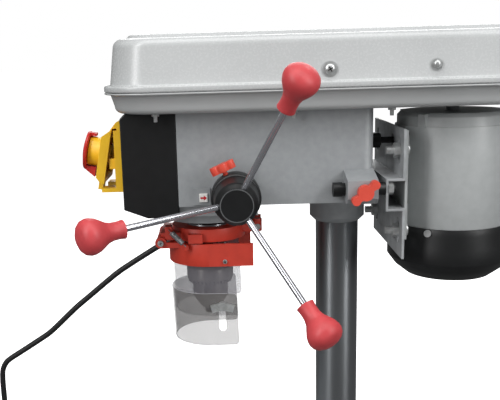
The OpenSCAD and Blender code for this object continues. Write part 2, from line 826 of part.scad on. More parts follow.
jaw_max = 13;
jaw_travel = (jaw_max - jaw_open) / 2 / sin(jaw_tilt);
core_r = 21.6;
sleeve_top = chuck_top + 11;
sleeve_low = chuck_top + 29;
chuck_body_l = 46;
nose_top = chuck_top + chuck_body_l;
body_r = 19.3;
cone_r = 9.5;
tip_out = 7;
// A jaw's slanted way; k picks the jaw and z = 0 is its tip
module at_jaw(k) {
    in_spindle() rotate([0, 0, 60 + 120 * k]) {
        translate([jaw_open / 2, 0, -chuck_low]) rotate([0, jaw_tilt, 0]) children();
    }
}
module chuck_body() {
    key_r = 3.9;
    color("#9b9da0") difference() {
        in_spindle() rotate_extrude() polygon([
            [0, -chuck_top], [chuck_r - over, -chuck_top], [chuck_r, -chuck_top - over], [chuck_r, air - sleeve_top],
            [core_r, air - sleeve_top], [core_r, over - sleeve_low], [body_r, over - sleeve_low], [body_r, -nose_top],
            [cone_r + over, tip_out + over - chuck_low], [cone_r, tip_out - chuck_low], [0, tip_out - chuck_low]
        ]);
        in_spindle() {
            translate([0, 0, -chuck_top - taper_l - run]) cylinder(r1 = taper_tip_r + run, r2 = taper_r + run, h = taper_l + run);
            cyl_z([0, 0, -chuck_low], jaw_max / 2, chuck_low - chuck_top - taper_l - over);
            for (k = [0 : 2]) {
                rotate([0, 0, 120 * k - 100]) cyl_x([body_r - key_r, 0, -sleeve_low - 2 * key_r], key_r, 2 * key_r);
            }
        }
        for (k = [0 : 2]) {
            at_jaw(k) cyl_z([0, 0, -2 * jaw_r], jaw_r + air, 2 * jaw_r + jaw_l + jaw_travel);
        }
    }
}
module chuck_sleeve() {
    gear_teeth = 36;
    tooth_w = 1.9;
    gear_h = 5;
    bevel = 2;
    bore = core_r + air;
    color("#a3a5a8") in_spindle() difference() {
        rotate_extrude() polygon([
            [bore, -sleeve_top], [chuck_r, -sleeve_top], [chuck_r, gear_h - sleeve_low],
            [chuck_r - bevel, -sleeve_low], [bore, -sleeve_low]
        ]);
        for (k = [0 : gear_teeth - 1]) {
            rotate([0, 0, 360 * k / gear_teeth]) box([core_r, -tooth_w / 2, -sleeve_low - over], [chuck_r, tooth_w, gear_h]);
        }
    }
}
module chuck_jaw(k) {
    color("#c3c5c7") difference() {
        at_jaw(k) cyl_z([0, 0, -over], jaw_r, jaw_l);
        in_spindle() {
            cyl_z([0, 0, -chuck_low - jaw_l], chuck_r, jaw_l);
            cyl_z([0, 0, -chuck_low - over], jaw_open / 2, 2 * jaw_l);
            for (s = [-1, 1]) {
                rotate([0, 0, 60 + 120 * k + s * 60]) {
                    box([-chuck_r, s > 0 ? -air / 2 : air / 2 - chuck_r, -chuck_low - over], [2 * chuck_r, chuck_r, 2 * jaw_l]);
                }
            }
        }
    }
}
module chuck_jaw_1() {
    chuck_jaw(0);
}
module chuck_jaw_2() {
    chuck_jaw(1);
}
module chuck_jaw_3() {
    chuck_jaw(2);
}

// Guard, drawn from the spindle axis: collar on the quill's flange, swinging carrier, spring and shields
collar_h = 13.6;
guard_x = -51;
guard_z = -44.4;
barrel_r = 5.4;
barrel_y = 27;
guard_bolt_r = 2.5;
ear_t = 4;
ear_y = barrel_y + air;
pinch_x = 53;
pinch_y = 15;
pinch_z = -33;
guard_head_r = 3.2;
guard_head_h = 3;
spring_a = [-42, -39, -28];
spring_b = [-23, -47, -45.5];
hook_r = 1.1;
wire_r = 0.35;
hook_gap = 2 * wire_r + air;
carrier_top = -44.4;
carrier_h = 24;
carrier_t = 4;
module guard_collar() {
    collar_r = 39.5;
    plate_t = 8;
    lug_r = 5;
    slit = 5;
    boss_x = -21;
    boss_l = 15;
    boss_y = 44;
    boss_h = 9.5;
    ear_h = 12;
    ear_w = 7;
    ear_back = 37;
    color("#b5302a") in_spindle() difference() {
        union() {
            cyl_z([0, 0, -quill_low], collar_r, collar_h);
            box([guard_x, -barrel_y, over / 2 - quill_low], [-guard_x / 2, 2 * barrel_y, plate_t]);
            cyl_y([guard_x, barrel_y, guard_z], barrel_r, 2 * barrel_y);
            box([0, -pinch_y, pinch_z - lug_r], [pinch_x, 2 * pinch_y, 2 * lug_r - over]);
            for (s = [-1, 1]) {
                cyl_z([pinch_x, s * (pinch_y - lug_r), pinch_z - lug_r], lug_r, collar_h);
            }
            box([boss_x, -boss_y, -quill_low], [boss_l, boss_y, boss_h]);
            box([spring_a[0] - ear_w / 2, -ear_back, -quill_low + lug_r], [ear_w, barrel_y / 2, ear_h]);
            cyl_y([spring_a[0], -barrel_y, spring_a[2]], hook_r, -spring_a[1] - barrel_y - hook_gap);
        }
        cyl_z([0, 0, -quill_low - over], flange_r + run, 2 * collar_h);
        box([0, -slit / 2, -quill_low - over], [2 * pinch_x, slit, 2 * collar_h]);
        cyl_y([guard_x, 2 * barrel_y, guard_z], guard_bolt_r + run, 4 * barrel_y);
        cyl_y([pinch_x, 2 * pinch_y, pinch_z], guard_bolt_r + run, 4 * pinch_y);
        cyl_y([pinch_x, guard_head_h - pinch_y, pinch_z], guard_head_r + air, guard_head_h + over);
    }
}
module guard_bolts() {
    nut_r = 4.6;
    hinge_reach = ear_y + ear_t + air;
    // Each bolt: x, the seats of its near head and of its far nut, z
    bolts = [
        [guard_x, hinge_reach, hinge_reach, guard_z], [pinch_x, pinch_y - guard_head_h, pinch_y + run, pinch_z]
    ];
    color("#c9cbcb") in_spindle() for (b = bolts) {
        cyl_y([b[0], b[2], b[3]], guard_bolt_r, b[1] + b[2]);
        cyl_y([b[0], -b[1], b[3]], guard_head_r, guard_head_h);
        translate([b[0], b[2] + guard_head_h, b[3]]) rotate([90, 0, 0]) {
            cylinder(r = nut_r, h = guard_head_h, $fn = 6);
        }
    }
}
// A U-shaped sheet, open to the rear: half a tube and two straight sides
module u_block(r, tail, h) {
    cylinder(r = r, h = h);
    box([0, -r, 0], [tail, 2 * r, h]);
}
module u_sheet(r, t, tail, h) {
    difference() {
        u_block(r, tail, h);
        translate([0, 0, -over]) u_block(r - t, 2 * tail, h + 2 * over);
        box([tail, -2 * r, -over], [r, 4 * r, h + 2 * over]);
    }
}
screw_x = 17;
screw_z = -63;
shield_r = guard_r - carrier_t - air;
upper_tail = 35;
upper_low = -124;
upper_h = 74;
lower_r = shield_r + shield_t + air;
lower_tail = 30;
lower_low = -157;
lower_h = 58;
wing_bolt_x = 13;
wing_bolt_z = -112;
shield_slot_w = 6;
shield_travel = 26;
shield_bolt_r = 2.5;
shield_screw_r = 1.4;
module guard_carrier() {
    ear_r = 6;
    inner = guard_r - carrier_t;
    hook_y = spring_b[1] + 2 * hook_r + hook_gap;
    hook_w = 4 * hook_r;
    color("#b5302a") in_spindle() difference() {
        union() {
            translate([0, 0, carrier_top - carrier_h]) u_sheet(guard_r, carrier_t, guard_tail, carrier_h);
            for (s = [-1, 1]) {
                translate([0, s > 0 ? ear_y : -ear_y - ear_t, 0]) {
                    cyl_y([guard_x, ear_t, guard_z], ear_r, ear_t);
                    box([guard_x, 0, guard_z - ear_r], [-guard_x - sqrt(inner * inner - ear_y * ear_y), ear_t, ear_r]);
                }
            }
            cyl_y([spring_b[0], hook_y, spring_b[2]], hook_r, 2 * hook_r);
            box([spring_b[0] - hook_w / 2, hook_y - over / 2, spring_b[2] - 2 * hook_w / 2], [hook_w, guard_r, hook_w + over]);
        }
        translate([0, 0, carrier_top - carrier_h - over]) u_block(inner, 2 * guard_tail, 2 * carrier_h);
        cyl_y([guard_x, 2 * barrel_y, guard_z], guard_bolt_r + run, 4 * barrel_y);
        cyl_y([screw_x, 2 * guard_r, screw_z], shield_screw_r + run, 4 * guard_r);
    }
}
module upper_shield() {
    color([0.85, 0.87, 0.9, 0.35]) in_spindle() difference() {
        translate([0, 0, upper_low]) u_sheet(shield_r, shield_t, upper_tail, upper_h);
        cyl_y([screw_x, 2 * guard_r, screw_z], shield_screw_r + run, 4 * guard_r);
        cyl_y([wing_bolt_x, 0, wing_bolt_z], shield_bolt_r + run, 2 * guard_r);
    }
}
module shield_screws() {
    head_r = 2.3;
    head_h = 1.6;
    grip = carrier_t + air + 2 * shield_t;
    color("#c9cbcb") in_spindle() for (s = [-1, 1]) {
        cyl_y([screw_x, s > 0 ? guard_r + head_h : -guard_r, screw_z], head_r, head_h);
        cyl_y([screw_x, s > 0 ? guard_r + over : grip - guard_r, screw_z], shield_screw_r, grip + over);
    }
}
module lower_shield() {
    color([0.8, 0.82, 0.86, 0.4]) in_spindle() difference() {
        translate([0, 0, lower_low]) u_sheet(lower_r, shield_t, lower_tail, lower_h);
        translate([wing_bolt_x, 0, wing_bolt_z - shield_travel / 2]) rotate([90, 0, 0]) linear_extrude(2 * lower_r) {
            rotate(90) slot(shield_travel + shield_slot_w, shield_slot_w);
        }
    }
}
module shield_wing_bolt() {
    wing_l = 10;
    wing_t = 2;
    wing_h = 8;
    hub_r = 4.6;
    hub_l = 6;
    lean = 14;
    grip = 3 * shield_t;
    color("#c9cbcb") in_spindle() translate([wing_bolt_x, -lower_r - run, wing_bolt_z]) {
        cyl_y([0, grip, 0], shield_bolt_r, grip + hub_l);
        cyl_y([0, 0, 0], hub_r, hub_l);
        for (s = [-1, 1]) {
            translate([0, -hub_l / 2, 0]) rotate([0, s * lean, 0]) {
                box([s > 0 ? hub_r / 2 : -wing_l - hub_r / 2, -wing_t, -wing_h / 2], [wing_l, 2 * wing_t, wing_h]);
            }
        }
    }
}
// The extension spring: a straight hook, open curls and a straight hook, in one unbroken tube
curl_r = 2.1;
curls = 14;
curl_rings = 8;
hook_l = 4;
spring_axis = unit(spring_b - spring_a);
spring_side = unit(cross(spring_axis, [0, 0, 1]));
spring_up = cross(spring_side, spring_axis);
spring_l = norm(spring_b - spring_a);
curls_l = spring_l - 2 * hook_l;
spring_path = concat(
    [spring_a, spring_a + spring_axis * (hook_l - over)],
    [for (k = [0 : curls * curl_rings])
        let (a = 360 * k / curl_rings, s = hook_l + curls_l * k / (curls * curl_rings))
        spring_a + spring_axis * s + curl_r * (spring_side * cos(a) + spring_up * sin(a))],
    [spring_b - spring_axis * (hook_l - over), spring_b]
);
module guard_spring() {
    color("#c9cbcb") in_spindle() tube(spring_path, wire_r, 6);
}

// Belt case: pan, lid and hinges
case_x0 = spin - case_front;
case_x1 = mot + case_rear;
case_edge = 46;
flange_w = 6;
flange_in = 3.2;
pan_low = head_h;
pan_top = pan_low + pan_h;
lid_low = pan_top + air;
lid_top = lid_low + lid_h;
skin = 0.1;
fall_shares = [1, 0.3, 0];
// A thin slab of the case's outline, drawn in by inset
module case_slab(inset, z) {
    l = case_x1 - case_x0 - 2 * inset;
    w = case_w - 2 * inset;
    r = case_edge - inset / 2;
    translate([(case_x0 + case_x1) / 2, 0, z]) linear_extrude(skin) for (sx = [-1, 1], sy = [-1, 1]) {
        translate([sx * (l / 2 - r), sy * (w / 2 - r)]) circle(r, $fn = hull_fn);
    }
}
// A flat plate of the case's outline
module case_plate(inset, z, h) {
    translate([(case_x0 + case_x1) / 2, 0, z]) linear_extrude(h) {
        rounded(case_x1 - case_x0 - 2 * inset, case_w - 2 * inset, case_edge - inset / 2);
    }
}
module pan_form(t) {
    draft = 3;
    round = 7;
    hull() {
        for (k = [0 : 2]) {
            case_slab(flange_w + draft + round * fall_shares[k] + t, pan_low + round * fall_shares[2 - k] + t);
        }
        case_slab(flange_w + t, pan_top - (t > 0 ? -over : pan_t));
    }
}
shaft_hole_r = 11;
shaft_hole_l = 40;
shaft_hole_in = 6;
module belt_pan() {
    color("#9a9c9c") in_head() difference() {
        union() {
            pan_form(0);
            case_plate(flange_in, pan_top - pan_t, pan_t);
        }
        pan_form(pan_t);
        cyl_z([spin, 0, pan_low - over], bearing_r + over, 2 * pan_h);
        translate([mot - shaft_hole_in, 0, pan_low - over]) linear_extrude(2 * pan_h) slot(shaft_hole_l, 2 * shaft_hole_r);
        for (x = pan_bolt_x, s = [-1, 1]) {
            cyl_z([x, s * pan_bolt_y, pan_low - over], pan_bolt_r + run, 2 * pan_t);
        }
    }
}
hinge_out = 4.5;
lid_hinge_y = case_w / 2 + hinge_out;
hinge_step = 115;
hinge_xs = [case_x0 + hinge_step, case_x1 - hinge_step];
knuckle_r = 4;
lid_pin_r = 2;
knuckle_l = 14;
module lid_form(t) {
    draft = 4;
    round = 9;
    hull() {
        case_slab(flange_w + t, lid_low - (t > 0 ? over : 0));
        for (k = [0 : 2]) {
            case_slab(flange_w + draft + round * fall_shares[2 - k] + t, lid_top - round * fall_shares[k] - skin - t);
        }
    }
}
module belt_lid() {
    wall = 2.4;
    lip_h = 7.3;
    skirt_t = 2;
    panel_in = 29;
    panel_h = 4.5;
    color("#c8caca") in_head() difference() {
        union() {
            lid_form(0);
            case_plate(0, pan_top - pan_t + air, pan_t + lip_h);
            hull() {
                case_slab(panel_in, lid_top - over);
                case_slab(panel_in + panel_h, lid_top + panel_h - over);
            }
            for (x = hinge_xs) {
                cyl_x([x - knuckle_l / 2, lid_hinge_y, pan_top], knuckle_r, knuckle_l);
                box([x - knuckle_l / 2, case_w / 2 - wall, lid_low], [knuckle_l, hinge_out + wall, knuckle_r - air]);
            }
        }
        lid_form(wall);
        case_plate(skirt_t, pan_top - pan_t, pan_t + air);
        for (x = hinge_xs) {
            cyl_x([x - knuckle_l, lid_hinge_y, pan_top], lid_pin_r + run, 2 * knuckle_l);
        }
    }
}
module lid_hinges() {
    leaf_t = 1.6;
    leaf_l = 12;
    leaf_y = case_w / 2 + air;
    foot_y = case_w / 2 - flange_w + air;
    foot_z = pan_top - pan_t - leaf_t;
    color("#b9bbbb") in_head() for (x = hinge_xs) {
        cyl_x([x - knuckle_l / 2 - leaf_l, lid_hinge_y, pan_top], lid_pin_r, knuckle_l + 2 * leaf_l);
        for (s = [-1, 1]) {
            translate([x + s * (knuckle_l + leaf_l + 2 * air) / 2 - leaf_l / 2, 0, 0]) {
                cyl_x([0, lid_hinge_y, pan_top], knuckle_r, leaf_l);
                box([0, leaf_y, foot_z], [leaf_l, lid_hinge_y - leaf_y, pan_t + leaf_t]);
                box([0, foot_y, foot_z], [leaf_l, lid_hinge_y - foot_y, leaf_t]);
            }
        }
    }
}

// Drive: stepped pulleys, belt, motor and its sliding plate
grooves = 5;
step_h = 10.4;
big_r = 54;
small_r = 26;
groove_d = 7;
belt_groove_index = 3;
groove_shares = [0, 0.1, 0.36, 0.64, 0.9, 1];
pulley_z = pan_low + 2 * pan_t + air;
pulley_h = grooves * step_h;
function step_r(k) = small_r + (big_r - small_r) * k / (grooves - 1);
// A pulley's outline with its largest groove at the top, as points [radius, height]
function groove_side(k) = [for (j = [0 : 5])
    [step_r(k) + (j == 2 || j == 3 ? -groove_d : over), (k + groove_shares[j]) * step_h]];
module pulley(bore) {
    rotate_extrude() polygon(concat([[bore, 0]], [for (k = [0 : grooves - 1], p = groove_side(k)) p], [[bore, pulley_h]]));
}
module spindle_pulley() {
    sleeve_z = quill_top + 2 * over;
    color("#9b9da0") in_spindle() difference() {
        union() {
            translate([0, 0, pulley_z]) pulley(shaft_r - over);
            cyl_z([0, 0, sleeve_z], bearing_bore - run, pulley_z - sleeve_z + over);
        }
        translate([0, 0, quill_top]) linear_extrude(2 * head_h) spline_2d(backlash);
    }
}
module pulley_bearings() {
    color("#b9bbbd") in_spindle() for (k = [0, 1]) {
        translate([0, 0, quill_top + over + k * bearing_h]) ring(bearing_r, bearing_bore, bearing_h - run);
    }
}
motor_shaft_r = 7;
module motor_pulley() {
    color("#9b9da0") in_head() translate([mot, 0, pulley_z + pulley_h]) mirror([0, 0, 1]) pulley(motor_shaft_r + run);
}
// The belt lies in one groove of each pulley; its outline is two arcs and two straight runs
belt_in = 2.2;
belt_r1 = step_r(belt_groove_index) - belt_in;
belt_r2 = step_r(grooves - 1 - belt_groove_index) - belt_in;
belt_lean = asin((belt_r1 - belt_r2) / (mot - spin));
arc_parts = 24;
function arc(x, r, a, b) = [for (k = [0 : arc_parts]) [x, 0] + polar(r, a + (b - a) * k / arc_parts)];
function belt_loop(grow) = concat(
    arc(spin, belt_r1 + grow, 90 - belt_lean, 270 + belt_lean), arc(mot, belt_r2 + grow, belt_lean - 90, 90 - belt_lean)
);
module belt_band(inner, outer, h) {
    translate([0, 0, pulley_z + (belt_groove_index + 0.5) * step_h - h / 2]) linear_extrude(h) difference() {
        polygon(belt_loop(outer));
        polygon(belt_loop(inner));
    }
}
module v_belt() {
    wide = 5.6;
    narrow = 4.2;
    color("#1d1d1e") in_head() {
        belt_band(0, belt_in, wide);
        belt_band(-belt_in, skin, narrow);
    }
}
motor_low = -32.8;
motor_top = motor_low + motor_h;
bell_h = 13.6;
bell_r = 57.5;
rotor_r = 30;
spigot_h = 8;
plate_out = 57.6;
plate_t = 2.6;
mount_w = 140;
mount_low = -38;
mount_h = 110;
bolt_y = 55;
bolt_z = [-31, 51];
bolt_r = 4;
fan_cover_t = 2.4;
fan_seat_r = 61.4;
fan_screw_r = 1.6;
fan_screw_z = motor_low - spigot_h / 2;
lead_in = 39;
lead_room_share = 0.75;
// The four screws that hold the fan cover; x runs outward from the motor axis
module fan_screw_places() {
    for (k = [0 : 3]) {
        in_head() translate([mot, 0, fan_screw_z]) rotate([0, 0, 90 * k - 125]) children();
    }
}
module motor_bolt_places() {
    for (y = [-bolt_y, bolt_y], z = bolt_z) {
        in_head() translate([plate_out, y, z]) children();
    }
}
module motor_body() {
    foot_y = 30;
    foot_h = 24;
    foot_z = [motor_low, bolt_z[1] - foot_h / 2];
    rib = 4;
    bevel = 4;
    spigot_r = fan_seat_r - fan_cover_t - 2 * air;
    color("#a9abaa") difference() {
        in_head() union() {
            cyl_z([mot, 0, motor_low], motor_r, motor_h);
            cyl_z([mot, 0, motor_low - spigot_h], spigot_r, 2 * spigot_h);
            cyl_z([mot, 0, motor_top], bell_r, bell_h - bevel);
            translate([mot, 0, motor_top + bell_h - bevel]) cylinder(r1 = bell_r, r2 = bell_r - bevel, h = bevel);
            box([plate_out, -mount_w / 2, mount_low], [plate_t, mount_w, mount_h]);
            for (z = foot_z) {
                box([plate_out + plate_t / 2, -foot_y, z], [motor_r / 2, 2 * foot_y, foot_h]);
            }
            for (a = [45 : 90 : 315]) {
                translate([mot, 0, motor_top]) rotate([0, 0, a]) box([bell_r - rib, -rib, 0], [2 * rib, 2 * rib, bell_h - over]);
            }
        }
        in_head() {
            cyl_z([mot, 0, motor_low - 2 * spigot_h], rotor_r + 2 * air, motor_h + 2 * spigot_h + bell_h / 2);
            cyl_z([mot, 0, motor_low], motor_shaft_r + run, motor_h + 2 * bell_h);
            cyl_x([plate_out - over, lead_y, lead_z], 2 * lead_r, mot - lead_in - plate_out + lead_room_share * bell_h);
        }
        motor_bolt_places() cyl_x([-over, 0, 0], bolt_r + run, plate_t + 2 * over);
        fan_screw_places() cyl_x([bell_r / 2, 0, 0], fan_screw_r + run, motor_r);
    }
}
module motor_rotor() {
    fan_r = 50;
    fan_t = 3;
    blades = 8;
    blade_h = 18;
    fan_drop = 30;
    fan_z = motor_low - fan_drop;
    hub_r = 2 * motor_shaft_r;
    core_in = 6;
    color("#8a8c8e") in_head() {
        cyl_z([mot, 0, motor_low + core_in], rotor_r, motor_h - 2 * core_in);
        cyl_z([mot, 0, fan_z + over], motor_shaft_r, pulley_z + pulley_h - fan_z);
    }
    color("#2a2b2c") in_head() translate([mot, 0, fan_z]) {
        ring(fan_r, motor_shaft_r - run, fan_t);
        ring(hub_r, motor_shaft_r - run, blade_h);
        for (k = [0 : blades - 1]) {
            rotate([0, 0, 360 * k / blades]) box([hub_r - over, -fan_t / 2, over], [fan_r - hub_r - over, fan_t, blade_h - over]);
        }
    }
}
fan_cover_r = 65.4;
fan_cover_h = 62;
fan_shares = [[0.4, 1], [0.7, 0.92], [0.88, 0.77], [1, 0.6], [1, 0.45]];
function fan_cover_side(t) = concat(
    [[0, t - fan_cover_h]], [for (s = fan_shares) [s[0] * fan_cover_r - t, t * s[1] - s[1] * fan_cover_h]],
    [[fan_seat_r - t, t > 0 ? over : 0], [0, t > 0 ? over : 0]]
);
module motor_fan_cover() {
    vent_w = 3;
    vents = 4;
    color("#1a1b1c") difference() {
        in_head() translate([mot, 0, motor_low]) difference() {
            rotate_extrude($fn = 72) polygon(fan_cover_side(0));
            rotate_extrude($fn = 72) polygon(fan_cover_side(fan_cover_t));
            for (k = [-vents : vents]) {
                box([3 * k * vent_w - vent_w / 2, -fan_cover_r / 4, -2 * fan_cover_h], [vent_w, fan_cover_r / 2, 1.5 * fan_cover_h]);
            }
        }
        fan_screw_places() cyl_x([bell_r / 2, 0, 0], fan_screw_r + run, motor_r);
    }
}
plate_gap = air + plate_t;
plate_x = plate_out - plate_gap;
web_x = 38;
rod_nut_h = 5;
module motor_fasteners() {
    head_r = 6.5;
    head_h = 3.6;
    nut_r = 7.4;
    shank_l = 20;
    screw_head_r = 3.7;
    screw_head_h = 2;
    screw_l = 6;
    rod_nut_r = 6.5;
    color("#c9cbcb") {
        motor_bolt_places() {
            cyl_x([plate_t + run, 0, 0], head_r, head_h);
            cyl_x([plate_t + over - shank_l, 0, 0], bolt_r, shank_l);
            translate([-plate_gap - run - nut_h, 0, 0]) rotate([0, 90, 0]) cylinder(r = nut_r, h = nut_h, $fn = 6);
        }
        fan_screw_places() {
            cyl_x([fan_seat_r + over, 0, 0], screw_head_r, screw_head_h);
            cyl_x([fan_seat_r - screw_l, 0, 0], fan_screw_r, screw_l + 2 * over);
        }
        for (s = [-1, 1]) {
            in_head() translate([web_x + plate_t + run, s * rod_y, rod_z]) rotate([0, 90, 0]) difference() {
                cylinder(r = rod_nut_r, h = rod_nut_h, $fn = 6);
                cyl_z([0, 0, -over], rod_r / 2 + run, rod_nut_h + 2 * over);
            }
        }
    }
}

module motor_plate() {
    w = 148;
    low = -57.5;
    top = 73.5;
    web_low = -8;
    web_top = 25;
    slot_l = 26;
    deep = plate_x - web_x + plate_t;
    color("#b9bcbd") in_head() difference() {
        union() {
            box([plate_x, -w / 2, web_top - plate_t], [plate_t, w, top - web_top + plate_t]);
            box([plate_x, -w / 2, low], [plate_t, w, web_low - low + plate_t]);
            box([web_x, -w / 2, web_low], [plate_t, w, web_top - web_low]);
            for (z = [web_low, web_top - plate_t]) {
                box([web_x, -w / 2, z], [deep, w, plate_t]);
            }
        }
        for (y = [-bolt_y, bolt_y], z = bolt_z) {
            translate([plate_x - over, y, z]) rotate([0, 90, 0]) linear_extrude(plate_t + 2 * over) slot(slot_l, 2 * bolt_r + over);
        }
        for (s = [-1, 1]) {
            cyl_x([web_x - over, s * rod_y, rod_z], rod_r / 2 + run, plate_t + 2 * over);
        }
        cyl_x([plate_x - over, lead_y, lead_z], 2 * lead_r, plate_t + 2 * over);
    }
}
module slide_rods() {
    cap_x = -14;
    cap_r = 7.2;
    cap_l = 9;
    rod_end = web_x - run;
    color("#2a2b2c") in_head() for (s = [-1, 1]) {
        cyl_x([cap_x, s * rod_y, rod_z], cap_r, cap_l);
        cyl_x([cap_x, s * rod_y, rod_z], rod_r, rod_end - cap_x);
        cyl_x([rod_end - over, s * rod_y, rod_z], rod_r / 2, plate_t + rod_nut_h + 3 * over);
    }
}
module tension_wing() {
    hub_r = 7.6;
    hub_l = 9;
    tip_r = 4.3;
    tip_x = 12;
    waist = 3.4;
    lean = 40;
    shank_y = rod_y + rod_r + run;
    color("#cf3d35") in_head() translate([wing_x, 0, rod_z]) {
        cyl_y([0, -shank_y, 0], wing_r, lug_y + over - shank_y);
        translate([0, -lug_y - air, 0]) rotate([90, 0, 0]) rotate(lean) {
            cylinder(r = hub_r, h = hub_l);
            for (s = [-1, 1]) {
                cyl_z([s * tip_x, 0, 0], tip_r, hub_l);
                box([s > 0 ? 0 : -tip_x, -waist, 0], [tip_x, 2 * waist, hub_l]);
            }
        }
    }
}
module motor_lead() {
    lobes = 5;
    lobe_r = 3;
    lobe_at = 5;
    nut_core_r = 6.6;
    nut_l = 13;
    color("#161616") in_head() {
        cyl_x([head_x1 - head_t, lead_y, lead_z], gland_r, head_t + over);
        translate([head_x1 + run, lead_y, lead_z]) rotate([0, 90, 0]) linear_extrude(nut_l) {
            circle(nut_core_r);
            for (k = [0 : lobes - 1]) {
                rotate(360 * k / lobes) translate([lobe_at, 0]) circle(lobe_r);
            }
        }
        cyl_x([head_x1 + nut_l - over, lead_y, lead_z], lead_r, mot - lead_in - head_x1 - nut_l);
    }
}

// Mains cord: gland, free stretch, coil and plug
cord_r = cord_d / 2;
gland_x = -101;
gland_y = 47;
module cord_gland() {
    nut_r = 8;
    tip_r = 4.6;
    root_r = 6.5;
    l = 24;
    color("#161616") in_head() translate([gland_x, gland_y, -chin_h]) difference() {
        union() {
            cyl_z([0, 0, -nut_h], nut_r, nut_h);
            translate([0, 0, -l]) cylinder(r1 = tip_r, r2 = root_r, h = l - nut_h + over);
        }
        cyl_z([0, 0, -l - over], cord_r + run, 2 * over);
    }
}
// Points of the free stretch, from inside the gland to the coil's first turn
cord_points = [
    [-16, 47, 385.5], [-16, 47, 382.5], [-16, 47, 379.5], [-17, 49.5, 375.5], [-20, 52, 372.5], [-29, 54, 369.5],
    [-44, 56, 367], [-65, 58.5, 363.5], [-90, 62, 358.5], [-112, 65, 351.5], [-138, 68, 336], [-156, 70, 324.5],
    [-172, 71.5, 313.5], [-205, 74, 286.5], [-225, 75, 270], [-255, 77, 242], [-272, 78, 230], [-298, 79, 213.5],
    [-310, 79.5, 206], [-317, 80, 200], [-321.5, 80, 191.5], [-323, 80, 182], [-323.5, 80, 165], [-323, 80, 135],
    [-321, 80, 95], [-317.5, 79.5, 60], [-315, 78, 38.5], [-313.5, 73.5, 21], [-312, 60.5, 8.5], [-310.5, 43, 4.2],
    [-310.5, 32, 3.6], [-310.5, 23, 3.6]
];
coil_x = -262;
coil_y = 16;
coil_gap = 0.55;
coil_turns = 4;
coil_rings = 24;
coil_r = 48.5;
coil_pitch = cord_d + coil_gap;
coil_z = cord_r + skin;
// Two layers: the radius falls and then grows, and the height climbs in the half turn between
function ease(x) = x <= 0 ? 0 : x >= 1 ? 1 : x * x * (3 - 2 * x);
function wound_r(turn) = coil_r - coil_pitch * min(turn, coil_turns - turn);
function wound_z(turn) = coil_z + coil_pitch * ease(2 * (turn - coil_turns / 2) + 0.5);
coil_path = [for (k = [0 : coil_turns * coil_rings])
    let (turn = k / coil_rings, a = 180 + 360 * turn)
    [coil_x + wound_r(turn) * cos(a), coil_y + wound_r(turn) * sin(a), wound_z(turn)]];
tail_points = [
    [-310.5, 9, 11.15], [-310.5, -2, 11.8], [-310.5, -14, 14], [-310.5, -26, 16.6], [-310.5, -38, 18], [-310.5, -46, 18]
];
wound_path = concat([coil_path[0] + [0, cord_d, 0]], coil_path, tail_points);
free_path = smooth(cord_points);
module mains_cord() {
    color("#141414") tube(free_path, cord_r, 8);
}
module cord_coil() {
    color("#141414") tube(wound_path, cord_r, 6);
}
module mains_plug() {
    plug_r = 18;
    plug = [-310.5, -46, 18];
    boot_l = 26;
    body_l = 32;
    face_l = 6;
    pin_l = 19;
    plug_pin_r = 2.4;
    pin_half = 9.5;
    boot_r = 8;
    back_l = boot_l + body_l / 2;
    color("#1b1b1b") translate(plug) rotate([90, 0, 0]) {
        cylinder(r1 = cord_r + over, r2 = boot_r, h = boot_l);
        translate([0, 0, boot_l - over]) cylinder(r1 = boot_r, r2 = plug_r, h = body_l / 2);
        cyl_z([0, 0, back_l - over], plug_r, body_l / 2 + face_l);
    }
    color("#c9cbcb") for (s = [-1, 1]) {
        cyl_y(plug + [s * pin_half, -back_l - body_l / 2, 0], plug_pin_r, face_l + pin_l);
    }
}
// Smooth path through hand-set points: the halfway points lie on a cubic through four neighbours
function smooth(p) = [for (k = [0 : 2 * len(p) - 2]) let (i = floor(k / 2), e = len(p) - 1)
    k % 2 == 0 ? p[i] : (9 * (p[i] + p[i + 1]) - p[max(i - 1, 0)] - p[min(i + 2, e)]) / 16];
function path_dir(p, k) = unit(p[min(k + 1, len(p) - 1)] - p[max(k - 1, 0)]);
// Cross directions carried along the path without twist
function carry(p, n, k = 0, out = []) = k == len(p) ? out :
    let (t = path_dir(p, k), m = unit(n - (n * t) * t)) carry(p, m, k + 1, concat(out, [m]));
// One unbroken tube along a path: a ring of corners at each point and flat ends
module tube(path, r, sides) {
    start = abs(path_dir(path, 0)[2]) > 0.9 ? [1, 0, 0] : [0, 0, 1];
    normals = carry(path, start);
    rings = len(path);
    points = [for (k = [0 : rings - 1], j = [0 : sides - 1])
        let (n = normals[k], b = cross(path_dir(path, k), n), a = 360 * (j + 0.5) / sides)
        path[k] + r * (n * cos(a) + b * sin(a))];
    walls = [for (k = [0 : rings - 2], j = [0 : sides - 1], half = [0, 1])
        let (a = k * sides + j, b = k * sides + (j + 1) % sides)
        half == 0 ? [a, a + sides, b] : [b, a + sides, b + sides]];
    first = [for (j = [1 : sides - 2]) [0, j, j + 1]];
    last = [for (j = [1 : sides - 2]) let (e = (rings - 1) * sides) [e, e + j + 1, e + j]];
    polyhedron(points, concat(walls, first, last));
}
// Least space between a tube and itself, measured between points more than skip apart, and its length
function least_gap(p, d, skip) = min([for (i = [0 : len(p) - 1 - skip], j = [i + skip : len(p) - 1]) norm(p[i] - p[j])]) - d;
function path_l(p, k = 0, sum = 0) = k == len(p) - 1 ? sum : path_l(p, k + 1, sum + norm(p[k + 1] - p[k]));
echo(coil_self_gap = least_gap(wound_path, cord_d, coil_rings / 2), coil_l = path_l(wound_path), free_l = path_l(free_path));
echo(spring_self_gap = least_gap(spring_path, 2 * wire_r, curl_rings - 2), feed = [col_x + feed_x, head_z + feed_up]);

